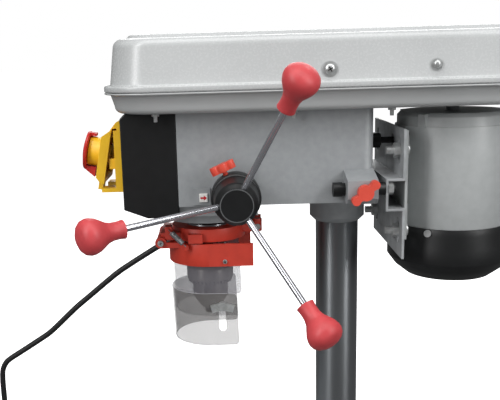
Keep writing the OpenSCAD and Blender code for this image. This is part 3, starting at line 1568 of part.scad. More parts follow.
base_plate();
column_socket();
socket_bolts();
column();
table_bracket();
table_lock_lever();
table();
table_tilt_bolt();
head_casting();
head_cover();
head_screws();
switch_frame();
switch_module();
switch_flap();
stop_mushroom();
start_button();
stop_button();
cord_gland();
motor_lead();
feed_shaft();
feed_hub();
feed_spokes();
feed_knobs();
depth_ring();
depth_lock_screw();
return_spring_cap();
quill();
quill_bumper();
quill_bearings();
spindle();
chuck_body();
chuck_sleeve();
chuck_jaw_1();
chuck_jaw_2();
chuck_jaw_3();
guard_collar();
guard_bolts();
guard_carrier();
guard_spring();
upper_shield();
shield_screws();
lower_shield();
shield_wing_bolt();
belt_pan();
belt_lid();
lid_hinges();
spindle_pulley();
pulley_bearings();
motor_pulley();
v_belt();
motor_body();
motor_rotor();
motor_fan_cover();
motor_fasteners();
motor_plate();
slide_rods();
tension_wing();
mains_cord();
cord_coil();
mains_plug();
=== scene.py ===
import math

import bmesh
import bpy
from mathutils import Matrix, Vector


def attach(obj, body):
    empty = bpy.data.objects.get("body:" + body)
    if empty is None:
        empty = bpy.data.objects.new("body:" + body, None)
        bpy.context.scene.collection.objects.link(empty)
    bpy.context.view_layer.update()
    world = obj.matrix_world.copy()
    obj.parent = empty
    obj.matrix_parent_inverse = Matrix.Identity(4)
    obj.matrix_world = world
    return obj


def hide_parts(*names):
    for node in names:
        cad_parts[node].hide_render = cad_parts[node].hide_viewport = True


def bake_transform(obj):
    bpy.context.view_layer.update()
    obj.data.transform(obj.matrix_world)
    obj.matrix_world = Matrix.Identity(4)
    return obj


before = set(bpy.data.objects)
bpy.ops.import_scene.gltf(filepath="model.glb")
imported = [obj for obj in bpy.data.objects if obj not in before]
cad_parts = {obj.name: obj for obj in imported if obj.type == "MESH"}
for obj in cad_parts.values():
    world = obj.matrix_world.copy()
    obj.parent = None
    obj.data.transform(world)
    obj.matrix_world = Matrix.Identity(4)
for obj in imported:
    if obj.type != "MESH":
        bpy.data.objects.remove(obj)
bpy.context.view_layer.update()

# The camera stands before the feed side, a little left of the spindle and above the belt case.
# It looks down on the head with a slight roll, as the photograph does. Lengths here are millimetres.
MM = 0.001
EYE = Vector((-36.18, -834.11, 569.13)) * MM
YAW, PITCH, ROLL = math.radians(0.70), math.radians(12.36), math.radians(-1.68)
LENS, SHIFT_X, SHIFT_Y = 55.9, 0.066, 0.051
look = Vector((-math.sin(YAW) * math.cos(PITCH), math.cos(YAW) * math.cos(PITCH), -math.sin(PITCH)))
level = Vector((math.cos(YAW), math.sin(YAW), 0))
right = math.cos(ROLL) * level + math.sin(ROLL) * level.cross(look)
up = right.cross(look)
camera = bpy.data.objects.new("camera", bpy.data.cameras.new("camera"))
bpy.context.scene.collection.objects.link(camera)
camera.matrix_world = Matrix.Translation(EYE) @ Matrix((right, up, -look)).transposed().to_4x4()
camera.data.lens = LENS
camera.data.shift_x = SHIFT_X
camera.data.shift_y = SHIFT_Y
camera.data.clip_start = 0.02
bpy.context.scene.camera = camera

# The mains cord: a round two-core lead, 7 mm across, with a matt black sheath that takes soft wide highlights.
# It drops from its gland under the head to the bench, where the rest lies in a round coil of two layers.
PATCH_DETAIL, GRAIN_DETAIL, BUMP_STRENGTH = 3.0, 2.0, 0.6
DARK_SHARE, LIGHT_SHARE = 0.32, 0.68


def bench(x, y, z):
    """A point in millimetres above the bench, in metres in the row frame."""
    return Vector((x, y, z)) * MM


def linear(code):
    """An sRGB hex code as linear red, green and blue with an alpha of 1."""
    parts = [int(code[i:i + 2], 16) / 255 for i in (1, 3, 5)]
    return [c / 12.92 if c <= 0.04045 else ((c + 0.055) / 1.055) ** 2.4 for c in parts] + [1.0]


def add(tree, kind, values=None, wires=None, **settings):
    """Adds one shader node, with its settings, its inputs' values and what is wired into them."""
    made = tree.nodes.new("ShaderNode" + kind)
    for name, value in settings.items():
        setattr(made, name, value)
    for name, value in (values or {}).items():
        made.inputs[name].default_value = value
    for name, value in (wires or {}).items():
        tree.links.new(value, made.inputs[name])
    return made


def finish(name, light, dark, mottle, grain, relief, rough, spread=0.08, metal=0.0, ior=1.5,
           run=(1, 1, 1), **more):
    """A finish from two colours. mottle and grain are the sizes of its patches and its grain in millimetres,
    relief is the grain's height in millimetres, rough is the mean roughness and spread how far it strays.
    run stretches the pattern, and more sets the shader's own sockets."""
    made = bpy.data.materials.new(name)
    made.use_nodes = True
    tree = made.node_tree
    shader = tree.nodes["Principled BSDF"]
    place = add(tree, "Mapping", {"Scale": run}, {"Vector": add(tree, "TexCoord").outputs["Object"]})
    at_place = {"Vector": place.outputs[0]}
    patches = add(tree, "TexNoise", {"Scale": 1 / (mottle * MM), "Detail": PATCH_DETAIL}, at_place)
    ramp = add(tree, "ValToRGB", wires={"Fac": patches.outputs["Fac"]})
    ramp.color_ramp.elements[0].position = DARK_SHARE
    ramp.color_ramp.elements[0].color = linear(dark)
    ramp.color_ramp.elements[1].position = LIGHT_SHARE
    ramp.color_ramp.elements[1].color = linear(light)
    fine = add(tree, "TexNoise", {"Scale": 1 / (grain * MM), "Detail": GRAIN_DETAIL}, at_place)
    height = fine.outputs["Fac"]
    gloss = add(tree, "MapRange", {"To Min": rough - spread, "To Max": rough + spread}, {"Value": height})
    bump = add(tree, "Bump", {"Strength": BUMP_STRENGTH, "Distance": relief * MM}, {"Height": height})
    tree.links.new(ramp.outputs["Color"], shader.inputs["Base Color"])
    tree.links.new(gloss.outputs["Result"], shader.inputs["Roughness"])
    tree.links.new(bump.outputs["Normal"], shader.inputs["Normal"])
    shader.inputs["Metallic"].default_value = metal
    if not metal:
        shader.inputs["IOR"].default_value = ior
    for socket, value in more.items():
        shader.inputs[socket.replace("_", " ")].default_value = value
    return made


def smooth_path(points, parts):
    """Points on the cubic through four neighbours, parts to each span of a given path."""
    out = []
    last = len(points) - 1
    for i in range(last):
        a, b, c, d = (points[min(max(i + k, 0), last)] for k in (-1, 0, 1, 2))
        for k in range(parts):
            t = k / parts
            square, cube = 2 * a - 5 * b + 4 * c - d, 3 * b - a - 3 * c + d
            out.append(0.5 * (2 * b + (c - a) * t + square * t ** 2 + cube * t ** 3))
    return out + [points[-1]]


CORD_D = 7.0
COIL_AT, COIL_R, COIL_STEP, COIL_TURNS = (-262, 16), 48.5, 7.55, 4
CORD_REST = 3.6
cord_route = [
    (-16, 47, 385.5), (-16, 47, 382.5), (-16, 47, 379.5), (-17, 49.5, 375.5), (-20, 52, 372.5),
    (-29, 54, 369.5), (-44, 56, 367), (-65, 58.5, 363.5), (-90, 62, 358.5), (-112, 65, 351.5),
    (-138, 68, 336), (-156, 70, 324.5), (-172, 71.5, 313.5), (-205, 74, 286.5), (-225, 75, 270),
    (-255, 77, 242), (-272, 78, 230), (-298, 79, 213.5), (-310, 79.5, 206), (-317, 80, 200),
    (-321.5, 80, 191.5), (-323, 80, 182), (-323.5, 80, 165), (-323, 80, 135), (-321, 80, 95),
    (-317.5, 79.5, 60), (-315, 78, 38.5), (-313.5, 73.5, 21), (-312, 60.5, 8.5), (-310.5, 43, 4.2),
    (-310.5, 32, 3.6), (-310.5, 23, 3.6),
]
cord_tail = [
    (-310.5, 9, 11.15), (-310.5, -2, 11.8), (-310.5, -14, 14), (-310.5, -26, 16.6), (-310.5, -38, 18),
    (-310.5, -46, 18),
]
COIL_RINGS, PATH_PARTS, LAYER_CLIMB = 24, 3, 0.5


def coil_point(turn):
    """A point of the coil after so many turns: it winds in, climbs a layer in a half turn, and winds out."""
    half = min(max(2 * (turn - COIL_TURNS / 2) + LAYER_CLIMB, 0), 1)
    radius = COIL_R - COIL_STEP * min(turn, COIL_TURNS - turn)
    angle = math.radians(180 + 360 * turn)
    rise = COIL_STEP * half * half * (3 - 2 * half)
    return (COIL_AT[0] + radius * math.cos(angle), COIL_AT[1] + radius * math.sin(angle), CORD_REST + rise)


black_pvc = finish("black_pvc_sheath", "#1b1b1c", "#131314", 9, 0.8, 0.02, 0.5)
free_line = smooth_path([bench(*p) for p in cord_route], PATH_PARTS)
coil_line = [bench(*coil_point(k / COIL_RINGS)) for k in range(COIL_TURNS * COIL_RINGS + 1)]
tail_line = smooth_path([coil_line[-1]] + [bench(*p) for p in cord_tail], PATH_PARTS)[1:]
cord_line = free_line + coil_line + tail_line
sheath = bpy.data.curves.new("mains_lead", "CURVE")
sheath.dimensions = "3D"
spline = sheath.splines.new("POLY")
spline.points.add(len(cord_line) - 1)
for knot, p in zip(spline.points, cord_line):
    knot.co = (*p, 1)
sheath.bevel_depth = CORD_D / 2 * MM
sheath.bevel_resolution = 3
sheath.use_fill_caps = True
sheath.materials.append(black_pvc)
lead = bpy.data.objects.new("mains_lead", sheath)
bpy.context.scene.collection.objects.link(lead)
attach(lead, "stand")
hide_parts("mains_cord", "cord_coil")

# The strap that holds the coil: a woven black tape, 9 mm wide, wrapped once round all the turns.
# Its coarse weave takes the light without any gloss.
SAME_POINT = 1e-7
TAPE_W, TAPE_T, TAPE_ROOM, TAPE_BEND = 9.0, 0.7, 0.2, 2
TAPE_LOW, TAPE_LOW_IN = 0.02, 0.08


def piece(name, points, faces, material, body=None, smooth=35, replaces=(), trim=None, trim_from=0):
    """A mesh piece from points in metres in the row frame. Edges sharper than smooth degrees stay crisp.
    Faces from number trim_from on take the material trim."""
    mesh = bpy.data.meshes.new(name)
    mesh.from_pydata([tuple(p) for p in points], [], faces)
    mesh.materials.append(material)
    if trim:
        mesh.materials.append(trim)
        for face in mesh.polygons[trim_from:]:
            face.material_index = 1
    form = bmesh.new()
    form.from_mesh(mesh)
    bmesh.ops.remove_doubles(form, verts=form.verts, dist=SAME_POINT)
    bmesh.ops.recalc_face_normals(form, faces=form.faces)
    form.to_mesh(mesh)
    form.free()
    mesh.shade_smooth()
    mesh.set_sharp_from_angle(angle=math.radians(smooth))
    made = bpy.data.objects.new(name, mesh)
    bpy.context.scene.collection.objects.link(made)
    if body:
        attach(made, body)
    if replaces:
        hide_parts(*replaces)
    return made


tape_in = COIL_R - 2 * COIL_STEP - CORD_D / 2 - TAPE_ROOM
tape_out = COIL_R + CORD_D / 2 + TAPE_ROOM
tape_top = CORD_REST + COIL_STEP + CORD_D / 2 + TAPE_ROOM
inner_bend = TAPE_BEND + TAPE_ROOM
black_tape = finish("black_woven_tape", "#232324", "#161617", 2, 0.6, 0.05, 0.8)
loop_out = [
    (tape_in - TAPE_T, TAPE_LOW), (tape_out + TAPE_T, TAPE_LOW), (tape_out + TAPE_T, tape_top - TAPE_BEND),
    (tape_out - TAPE_BEND, tape_top + TAPE_T), (tape_in + TAPE_BEND, tape_top + TAPE_T),
    (tape_in - TAPE_T, tape_top - TAPE_BEND),
]
loop_in = [
    (tape_in, TAPE_LOW_IN), (tape_out, TAPE_LOW_IN), (tape_out, tape_top - inner_bend),
    (tape_out - inner_bend, tape_top), (tape_in + inner_bend, tape_top), (tape_in, tape_top - inner_bend),
]
tape_points = []
for side in (-TAPE_W / 2, TAPE_W / 2):
    for loop in (loop_out, loop_in):
        tape_points += [bench(COIL_AT[0] + r, COIL_AT[1] + side, z) for r, z in loop]
tape_faces = []
corners = len(loop_out)
for k in range(corners):
    n = (k + 1) % corners
    for a, b in ((0, 1), (2, 3), (0, 2), (1, 3)):
        a, b = a * corners, b * corners
        tape_faces.append((a + k, a + n, b + n, b + k))
coil_strap = piece("coil_strap", tape_points, tape_faces, black_tape, "stand")

# The plug and the gland: moulded black PVC with a fine spark-eroded skin, which dulls its gloss.
# The plug's two pins are part of its CAD node, so they have the same black finish here.
WELD, SHARP_FROM = 2e-6, math.radians(32)


def dress(nodes, material, edge=0.4):
    """Gives CAD nodes their finish and rounds their sharp edges by edge millimetres, as a file does."""
    for name in nodes.split():
        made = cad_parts[name]
        made.data.materials.clear()
        made.data.materials.append(material)
        weld = made.modifiers.new("weld", "WELD")
        weld.merge_threshold = WELD
        if edge:
            bevel = made.modifiers.new("edges", "BEVEL")
            bevel.width = edge * MM
            bevel.segments = 2
            bevel.limit_method = "ANGLE"
            bevel.angle_limit = SHARP_FROM


black_moulding = finish("black_moulded_pvc", "#202022", "#17171a", 14, 0.7, 0.03, 0.45)
dress("mains_plug cord_gland", black_moulding, 0.5)

# The stage: a pale paper floor that runs out of sight, lit from above by one wide softbox and from the
# front by two tall ones. What lies behind the camera stays dim, so that metal and gloss paint get dark edges.
FLOOR = 40.0
DIM_SKY, FLOOR_GLOW = 0.16, 0.95
floor_mesh = bpy.data.meshes.new("floor")
floor_mesh.from_pydata(
    [(x * FLOOR, y * FLOOR, 0) for x, y in ((-1, -1), (1, -1), (1, 1), (-1, 1))], [], [(0, 1, 2, 3)]
)
floor = bpy.data.objects.new("floor", floor_mesh)
bpy.context.scene.collection.objects.link(floor)
# Paper has no gloss, and this one glows a little, so that it reads as the photograph's white.
floor_mesh.materials.append(finish("floor_paper", "#f4f4f4", "#f1f1f1", 400, 3, 0.02, 0.9,
                                   Emission_Color=linear("#ffffff"), Emission_Strength=FLOOR_GLOW))
floor.visible_glossy = False
floor.visible_diffuse = False
world = bpy.data.worlds.new("studio")
bpy.context.scene.world = world
world.use_nodes = True
sky = world.node_tree
dim = sky.nodes["Background"]
dim.inputs["Color"].default_value = linear("#f6f7f8")
dim.inputs["Strength"].default_value = DIM_SKY
clean = add(sky, "Background", {"Color": linear("#ffffff"), "Strength": 1.0})
seen = add(sky, "LightPath")
both = add(sky, "MixShader", wires={0: seen.outputs["Is Camera Ray"], 1: dim.outputs[0], 2: clean.outputs[0]})
sky.links.new(both.outputs[0], sky.nodes["World Output"].inputs["Surface"])
bpy.context.scene.view_settings.view_transform = "Standard"


def softbox(name, place, aim, width, height, power):
    """A large area light at a place in metres, turned to a point."""
    lamp = bpy.data.objects.new(name, bpy.data.lights.new(name, "AREA"))
    bpy.context.scene.collection.objects.link(lamp)
    lamp.data.shape = "RECTANGLE"
    lamp.data.size, lamp.data.size_y, lamp.data.energy = width, height, power
    lamp.location = place
    lamp.rotation_euler = (Vector(aim) - Vector(place)).to_track_quat("-Z", "Y").to_euler()
    return lamp


softbox("left_softbox", (-1.25, -1.15, 1.35), (0.0, 0.0, 0.4), 0.42, 1.5, 21)
softbox("right_softbox", (1.35, -1.15, 1.35), (0.1, 0.0, 0.4), 0.42, 1.5, 21)
softbox("top_softbox", (0.0, -0.5, 2.1), (0.05, 0.0, 0.5), 1.8, 1.2, 22)
low_fill = softbox("low_fill", (0.1, -1.5, 0.1), (0.0, 0.0, 0.5), 2.4, 0.5, 6)
low_fill.visible_glossy = False
softbox("rear_softbox", (0.3, 1.6, 1.5), (0.0, 0.0, 0.4), 1.8, 1.0, 22)

# The stand: base, column socket, table and its bracket are grey iron castings under a hammered grey paint.
# The paint lies thick and slightly wavy; the four bolts are zinc plated, and the column is ground steel tube.
# The column's ground skin draws each highlight out into a long upright streak.
hammered_grey = finish("hammered_grey_paint", "#95989a", "#8e9193", 7, 1.6, 0.10, 0.42)
ground_steel = finish("ground_steel", "#a2a5a8", "#8a8d90", 40, 1.1, 0.01, 0.38, 0.06, 1.0, run=(1, 1, 0.06),
                      Anisotropic=0.8, Anisotropic_Rotation=0.25)
# Zinc plate is bright but cloudy, and the lever's moulded plastic is satin black.
zinc_plate = finish("bright_zinc_plate", "#c9cbcb", "#a9abaa", 5, 0.6, 0.01, 0.3, 0.06, 0.55)
dress("base_plate column_socket table_bracket table", hammered_grey, 1.2)
dress("column", ground_steel, 0.3)
dress("socket_bolts table_tilt_bolt", zinc_plate, 0.4)
black_plastic = finish("black_polypropylene", "#111213", "#0c0d0e", 12, 0.9, 0.03, 0.45)
dress("table_lock_lever", black_plastic, 0.6)

# The head: one iron casting in the same paint, open to the front, where a black moulded shell closes it.
# Small zinc-plated screws hold the shell, and its satin skin gives only soft highlights.
dress("head_casting", hammered_grey, 1.5)
dress("head_cover", black_plastic, 1.2)
dress("head_screws", zinc_plate, 0.3)

# The return spring's cap on the far side: black moulded plastic over a flat blued spring.
# It sits on the casting round the feed shaft and has the shell's satin skin.
dress("return_spring_cap", black_plastic, 0)

# The quill and the spindle: turned and ground steel with fine circular tool marks, and a black rubber ring.
# The marks spread the highlights round the form, and the ring stays dull.
turned_steel = finish("turned_steel", "#8e8f91", "#66686b", 22, 0.9, 0.02, 0.3, 0.08, 1.0, run=(0.1, 0.1, 1))
# The same black also colours the screws' cross recesses, where it is painted shade.
rubber_and_recess_shade = finish("black_nitrile_rubber_and_recess_shade", "#131313", "#0d0d0d", 8, 0.8, 0.04, 0.65)
dress("quill quill_bearings spindle", turned_steel, 0.2)
dress("quill_bumper", rubber_and_recess_shade, 0.8)

# The chuck: hardened and ground steel on the body and the key sleeve, with three turned jaws inside it.
# Its fine grinding lines widen the highlights, which leaves the steel a mid grey.
dark_chuck = finish("hardened_steel", "#a39f9b", "#85817e", 30, 0.8, 0.01, 0.38, 0.06, 0.8, run=(0.1, 0.1, 1),
                    Anisotropic=0.8, Anisotropic_Rotation=0.25)
dress("chuck_body chuck_sleeve", dark_chuck, 0.25)
dress("chuck_jaw_1 chuck_jaw_2 chuck_jaw_3", turned_steel, 0)

# The feed: a black moulded hub and depth ring, chromed spokes, and knobs moulded in matt coral red.
# The spokes are screwed into the hub and mirror the room; the lock screw and the wing are glossier plastic.
coral_red = finish("coral_red_plastic", "#c9464a", "#b83c40", 16, 1.0, 0.05, 0.48)
chrome = finish("chromed_rod", "#c9cacf", "#b9bac0", 60, 2.0, 0.004, 0.18, 0.05, 0.85)
dress("feed_shaft", turned_steel, 0)
dress("feed_hub depth_ring", black_plastic, 0.5)
dress("feed_spokes", chrome, 0)
dress("feed_knobs", coral_red, 0)
orange_red = finish("orange_red_plastic", "#d94d3b", "#cd4433", 12, 0.8, 0.04, 0.4)
dress("depth_lock_screw tension_wing", orange_red, 0.8)

# The guard: red moulded nylon on the quill, and two bent polycarbonate sheets with pale cut edges.
# The clear upper one is screwed inside the red carrier, and the smoked lower one slides on it on a wing bolt.
# Moulded nylon is half matt. The sheets show their tint as a grey haze. Their cut edges are frosted and scatter
# light, and their near-white colour also holds a painted highlight along each edge.
guard_red = finish("red_moulded_nylon", "#c93c2b", "#bd3727", 14, 0.8, 0.03, 0.42)
dress("guard_collar guard_carrier", guard_red, 0.5)
dress("guard_bolts shield_screws shield_wing_bolt", zinc_plate, 0.3)

# The head's own frame: x = 0 on the column and z = 0 on the head's underside, in millimetres.
# at() turns such a point into the row frame in metres, as bench() does for one above the bench.
COLUMN_X, HEAD_Z = 85.0, 420.0
SPINDLE_X = -140.5


def at(x, y, z):
    """A point in millimetres in the head's own frame, in metres in the row frame."""
    return Vector((x + COLUMN_X, y, z + HEAD_Z)) * MM


SHEET_IOR = 1.58
clear_upper = finish("clear_polycarbonate", "#908e96", "#86848c", 60, 2.0, 0.002, 0.1, 0.02, ior=SHEET_IOR,
                     Alpha=0.26)
clear_lower = finish("smoked_polycarbonate", "#7f7c7b", "#757271", 60, 2.0, 0.002, 0.1, 0.02, ior=SHEET_IOR,
                     Alpha=0.46)
# The cut edges' near-white colour is partly the frosted cut and partly a painted highlight along each edge.
edge_frost_and_highlight = finish("cut_polycarbonate_edge_and_highlight", "#d9dadf", "#cfd0d6", 30, 2.0, 0.002, 0.2, 0.02, ior=SHEET_IOR,
                  Alpha=0.75)
SHEET_T, LEAN, END_R = 1.6, math.tan(math.radians(2.0)), 5.0
END_AT = (0, 1, 2.5, END_R)
HOLE_STEPS, ARC_STEPS, NEAR = 12, 32, 0.01
ROW = 8


def bent_sheet(name, radius, tail, low, high, hole, still, material, body, replaces):
    """A sheet bent to a U round the spindle, with one upright slot on its near side.
    hole is (x, z, length, width). The sheet leans about the height still. Its cut rims take the pale edge finish,
    which holds a painted highlight.
    Each of its columns has a row of points, an outer and an inner one at each of four heights."""
    hole_x, hole_z, hole_l, hole_w = hole
    r = hole_w / 2
    ends = tail - hole_x
    near = [*END_AT] + [ends - r * math.cos(math.pi * k / HOLE_STEPS) for k in range(HOLE_STEPS + 1)]
    arc = [tail + math.pi * radius * k / ARC_STEPS for k in range(ARC_STEPS + 1)]
    whole = 2 * tail + math.pi * radius
    columns = near + arc + [whole - end for end in reversed(END_AT)]
    points, faces, rims = [], [], []
    for s in columns:
        end = min(s, whole - s, END_R)
        drop = END_R - math.sqrt(END_R ** 2 - (END_R - end) ** 2)
        half = hole_l / 2 - r + math.sqrt(max(r * r - (s - ends) ** 2, 0))
        for z in (low + drop, hole_z - half, hole_z + half, high - drop):
            for depth in (0, SHEET_T):
                turn = min(max((s - tail) / radius, 0), math.pi)
                x = max(tail - s, 0) + max(s - tail - math.pi * radius, 0) - (radius - depth) * math.sin(turn)
                y = -(radius - depth) * math.cos(turn)
                points.append(at(SPINDLE_X + x + LEAN * (still - z), y, z))
    for c in range(len(columns) - 1):
        a, b = ROW * c, ROW * (c + 1)
        cut = ends - r - NEAR < columns[c] and columns[c + 1] < ends + r + NEAR
        for level in (0, 2, 4):
            if level == 2 and cut:
                rims += [(a + 2, b + 2, b + 3, a + 3), (a + 4, b + 4, b + 5, a + 5)]
                continue
            faces += [(a + level, b + level, b + level + 2, a + level + 2)]
            faces += [(a + level + 1, b + level + 1, b + level + 3, a + level + 3)]
        rims += [(a, b, b + 1, a + 1), (a + 6, b + 6, b + 7, a + 7)]
        opens, closes = abs(columns[c] - (ends - r)) < NEAR, abs(columns[c + 1] - (ends + r)) < NEAR
        if opens or closes:
            edge = a if opens else b
            rims.append((edge + 2, edge + 3, edge + 5, edge + 4))
    for side in (0, ROW * (len(columns) - 1)):
        rims += [(side + k, side + k + 1, side + k + 3, side + k + 2) for k in (0, 2, 4)]
    return piece(name, points, faces + rims, material, body, 30, replaces, edge_frost_and_highlight, len(faces))


bent_sheet("upper_guard_sheet", radius=39.7, tail=35, low=-124, high=-50, hole=(13, -112, 5.3, 5.2), still=-112,
           material=clear_upper, body="guard", replaces=("upper_shield",))
bent_sheet("lower_guard_sheet", radius=41.6, tail=30, low=-157, high=-99, hole=(13, -125, 32.4, 7.4),
           still=-138, material=clear_lower, body="lower_shield", replaces=("lower_shield",))

# The guard's return spring: close-wound steel wire, hooked over a peg on the collar and one on the carrier.
# The bright wire shows as fine stripes. The real spring stretches as the guard swings; this one is drawn in one
# pose and stays where it is.
SPRING_A, SPRING_B, SPRING_R, SPRING_WIRE, SPRING_TURNS = (-42, -39, -28), (-23, -47, -45.5), 2.6, 0.42, 18
# Shares of the spring's length: where its first hook, its coil and its last hook lie
HOOK_A, COIL_FROM, COIL_SHARE, HOOK_B = (0.02, 0.1), 0.18, 0.64, (0.9, 0.98)
TURN_STEPS, OPENING_STEPS = 12, 5


def tube(line, radius, sides=8):
    """Points and faces of a round wire along a line of points."""
    points, faces = [], []
    side = (line[1] - line[0]).orthogonal().normalized()
    for k, p in enumerate(line):
        ahead = (line[min(k + 1, len(line) - 1)] - line[max(k - 1, 0)]).normalized()
        side = (side - ahead * side.dot(ahead)).normalized()
        other = ahead.cross(side)
        for m in range(sides):
            turn = 2 * math.pi * m / sides
            points.append(p + (side * math.cos(turn) + other * math.sin(turn)) * radius)
    for k in range(len(line) - 1):
        for m in range(sides):
            n = (m + 1) % sides
            faces.append((k * sides + m, k * sides + n, (k + 1) * sides + n, (k + 1) * sides + m))
    ends = [tuple(range(sides)), tuple(len(points) - sides + m for m in range(sides))]
    return points, faces + ends


first, second = (at(SPINDLE_X + p[0], p[1], p[2]) for p in (SPRING_A, SPRING_B))
along = second - first
across = along.orthogonal().normalized()
upward = along.normalized().cross(across)
wire = [first + along * share for share in HOOK_A]
coil_steps = SPRING_TURNS * TURN_STEPS
for k in range(coil_steps + 1):
    turn = math.radians(360 / TURN_STEPS * k)
    spread = SPRING_R * MM * min(1, k / OPENING_STEPS, (coil_steps - k) / OPENING_STEPS)
    outward = (across * math.cos(turn) + upward * math.sin(turn)) * spread
    wire.append(first + along * (COIL_FROM + COIL_SHARE * k / coil_steps) + outward)
wire += [first + along * share for share in HOOK_B]
points, faces = tube(wire, SPRING_WIRE * MM, 6)
spring_steel = finish("bright_spring_steel", "#a8aaac", "#929496", 4, 0.5, 0.005, 0.3, 0.05, 0.6)
spring = piece("guard_return_spring", points, faces, spring_steel, None, 60, ("guard_spring",))
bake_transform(spring)

# The drive: cast alloy pulleys, a black belt, and the motor's cast body with its black fan cover.
# The body hangs on a folded galvanised plate, whose two rods slide in the head. Paint on the casting keeps
# its fine grain, and the zinc of the plate is a dull, cloudy grey.
dress("spindle_pulley motor_pulley pulley_bearings", turned_steel, 0.2)
dress("v_belt motor_lead", rubber_and_recess_shade, 0)
cast_alloy = finish("painted_alloy", "#a9acac", "#a3a6a6", 9, 1.2, 0.05, 0.36)
dress("motor_body", cast_alloy, 0.8)
dress("motor_fan_cover", black_plastic, 0.3)
dress("motor_rotor", ground_steel, 0)
dress("motor_fasteners", zinc_plate, 0.3)
galvanised = finish("galvanised_sheet", "#b4b7b9", "#9fa2a4", 11, 1.0, 0.02, 0.42, 0.08, 0.3)
dress("motor_plate", galvanised, 0.4)
dress("slide_rods", black_plastic, 0.5)
dress("lid_hinges", zinc_plate, 0.3)

# The belt case: a deep-drawn steel pan under a hinged steel lid, both enamelled, with rolled rims.
# Each is a stack of rounded rings, from the inside out, so the drawn corners run smooth.
# The baked enamel is even and half glossy, so its corners carry long soft highlights.
CASE_X0, CASE_X1, CASE_W, CASE_R, FLANGE = -239.0, 198.5, 190.0, 46.0, 6.0
PAN_Z, PAN_TOP, LID_Z, LID_TOP = 95.0, 116.0, 116.3, 167.3
SHEET, CORNER = 2.0, 10
pan_paint = finish("grey_enamel", "#aeb0b0", "#a7a9a9", 60, 2.2, 0.02, 0.35)
lid_paint = finish("light_grey_enamel", "#b6b8b8", "#b0b2b2", 60, 2.2, 0.02, 0.27, 0.04)


def case_ring(inset, z):
    """A ring of points round the case, drawn in by inset."""
    r = CASE_R - inset / 2
    cx, cy = (CASE_X1 - CASE_X0) / 2 - inset - r, CASE_W / 2 - inset - r
    middle = (CASE_X0 + CASE_X1) / 2
    ring = []
    for quarter, (sx, sy) in enumerate(((1, 1), (-1, 1), (-1, -1), (1, -1))):
        for k in range(CORNER + 1):
            a = math.radians(90 * quarter + 90 * k / CORNER)
            ring.append(at(middle + sx * cx + r * math.cos(a), sy * cy + r * math.sin(a), z))
    return ring


def bend(x, z, r, start, stop, steps=5):
    """Points (inset, height) on an arc about (x, z), in degrees from outward toward up."""
    turn = [math.radians(start + (stop - start) * k / steps) for k in range(steps + 1)]
    return [(x - r * math.cos(a), z + r * math.sin(a)) for a in turn]


def drawn(name, profile, material, body, replaces):
    """A drawn sheet form: rings along the profile, closed inside and outside by flat faces."""
    points, faces = [], []
    for inset, z in profile:
        points += case_ring(inset, z)
    count = 4 * (CORNER + 1)
    for k in range(len(profile) - 1):
        for j in range(count):
            n = (j + 1) % count
            faces.append((k * count + j, k * count + n, (k + 1) * count + n, (k + 1) * count + j))
    faces.append(tuple(range(count)))
    faces.append(tuple((len(profile) - 1) * count + j for j in range(count)))
    return piece(name, points, faces, material, body, 40, replaces)


# Profiles of (inset, height), in millimetres
pan_side = (
    [(18, PAN_Z + SHEET)] + bend(15, PAN_Z + 8, 5, -90, 0, 4)[1:] + [(FLANGE + SHEET, PAN_TOP - 3)]
    + bend(FLANGE + SHEET + 1.5, PAN_TOP - 1.5, 1.5, 0, 90, 3) + [(FLANGE + 1, PAN_TOP)]
    + [(1, PAN_TOP)] + bend(1, PAN_TOP - 1, 1, 90, -90, 4) + [(FLANGE - 1.5, PAN_TOP - SHEET)]
    + [(FLANGE, PAN_TOP - SHEET - 1.5)] + [(FLANGE + 3, PAN_Z + 7)] + bend(16, PAN_Z + 7, 7, 0, -90, 5)
)
drawn("belt_case_pan", pan_side, pan_paint, "stand", ("belt_pan",))
lid_side = (
    [(24, LID_TOP - SHEET - 0.4)] + bend(19, LID_TOP - 9, 6.6, 90, 0, 4) + [(FLANGE + 2.4, LID_Z)]
    + [(1.5, LID_Z)] + bend(1.5, LID_Z + 1.5, 1.5, -90, 0, 3) + bend(1.5, LID_Z + 4.6, 1.5, 0, 90, 3)
    + bend(FLANGE - 2, LID_Z + 8.1, 2, -90, -180, 3) + [(FLANGE + 4, LID_TOP - 9)]
    + bend(FLANGE + 13, LID_TOP - 9, 9, 0, 90, 6)
    + [(22, LID_TOP), (23, LID_TOP + 0.5), (25.5, LID_TOP + 3.1), (27, LID_TOP + 3.6)]
)
drawn("belt_case_lid", lid_side, lid_paint, "belt_lid", ("belt_lid",))

# Two pan-head screws with washers hold the belt guard's hoop inside the lid: bright zinc, cross recessed.
# A recess lies in its own shadow and is drawn as two black bars. Those of the first screw stand a hair before
# its head and show; those of the second, smaller screw lie inside its head and don't.
SCREW_AT = ((-19.6, -88.2, 133.5, 1.0), (80.8, -88.2, 135.2, 0.75))
HEAD_H, WASHER_H = 4.3, 1.2
HEAD_SIDE = ((0, 0), (7.2, 0), (7.2, WASHER_H), (5, 1.3), (4.8, 2.6), (3.4, 3.7), (1.6, 4.2), (0, HEAD_H))
CROSS_L, CROSS_W, CROSS_OUT, CROSS_DEEP, CROSS_TURN = 2.6, 0.55, 0.06, 1.5, 0.5
BOX_FACES = [(0, 1, 2, 3), (4, 5, 6, 7), (0, 1, 5, 4), (1, 2, 6, 5), (2, 3, 7, 6), (3, 0, 4, 7)]


def turned(centre, axis, profile, sides=32):
    """Points and faces of a turned form: profile holds (radius, height) pairs along the axis."""
    away = Vector(axis).normalized()
    side = away.orthogonal().normalized()
    other = away.cross(side)
    points, faces = [], []
    for radius, height in profile:
        for k in range(sides):
            turn = 2 * math.pi * k / sides
            outward = (side * math.cos(turn) + other * math.sin(turn)) * radius
            points.append(centre + (away * height + outward) * MM)
    for k in range(len(profile) - 1):
        for m in range(sides):
            n = (m + 1) % sides
            faces.append((k * sides + m, k * sides + n, (k + 1) * sides + n, (k + 1) * sides + m))
    return points, faces


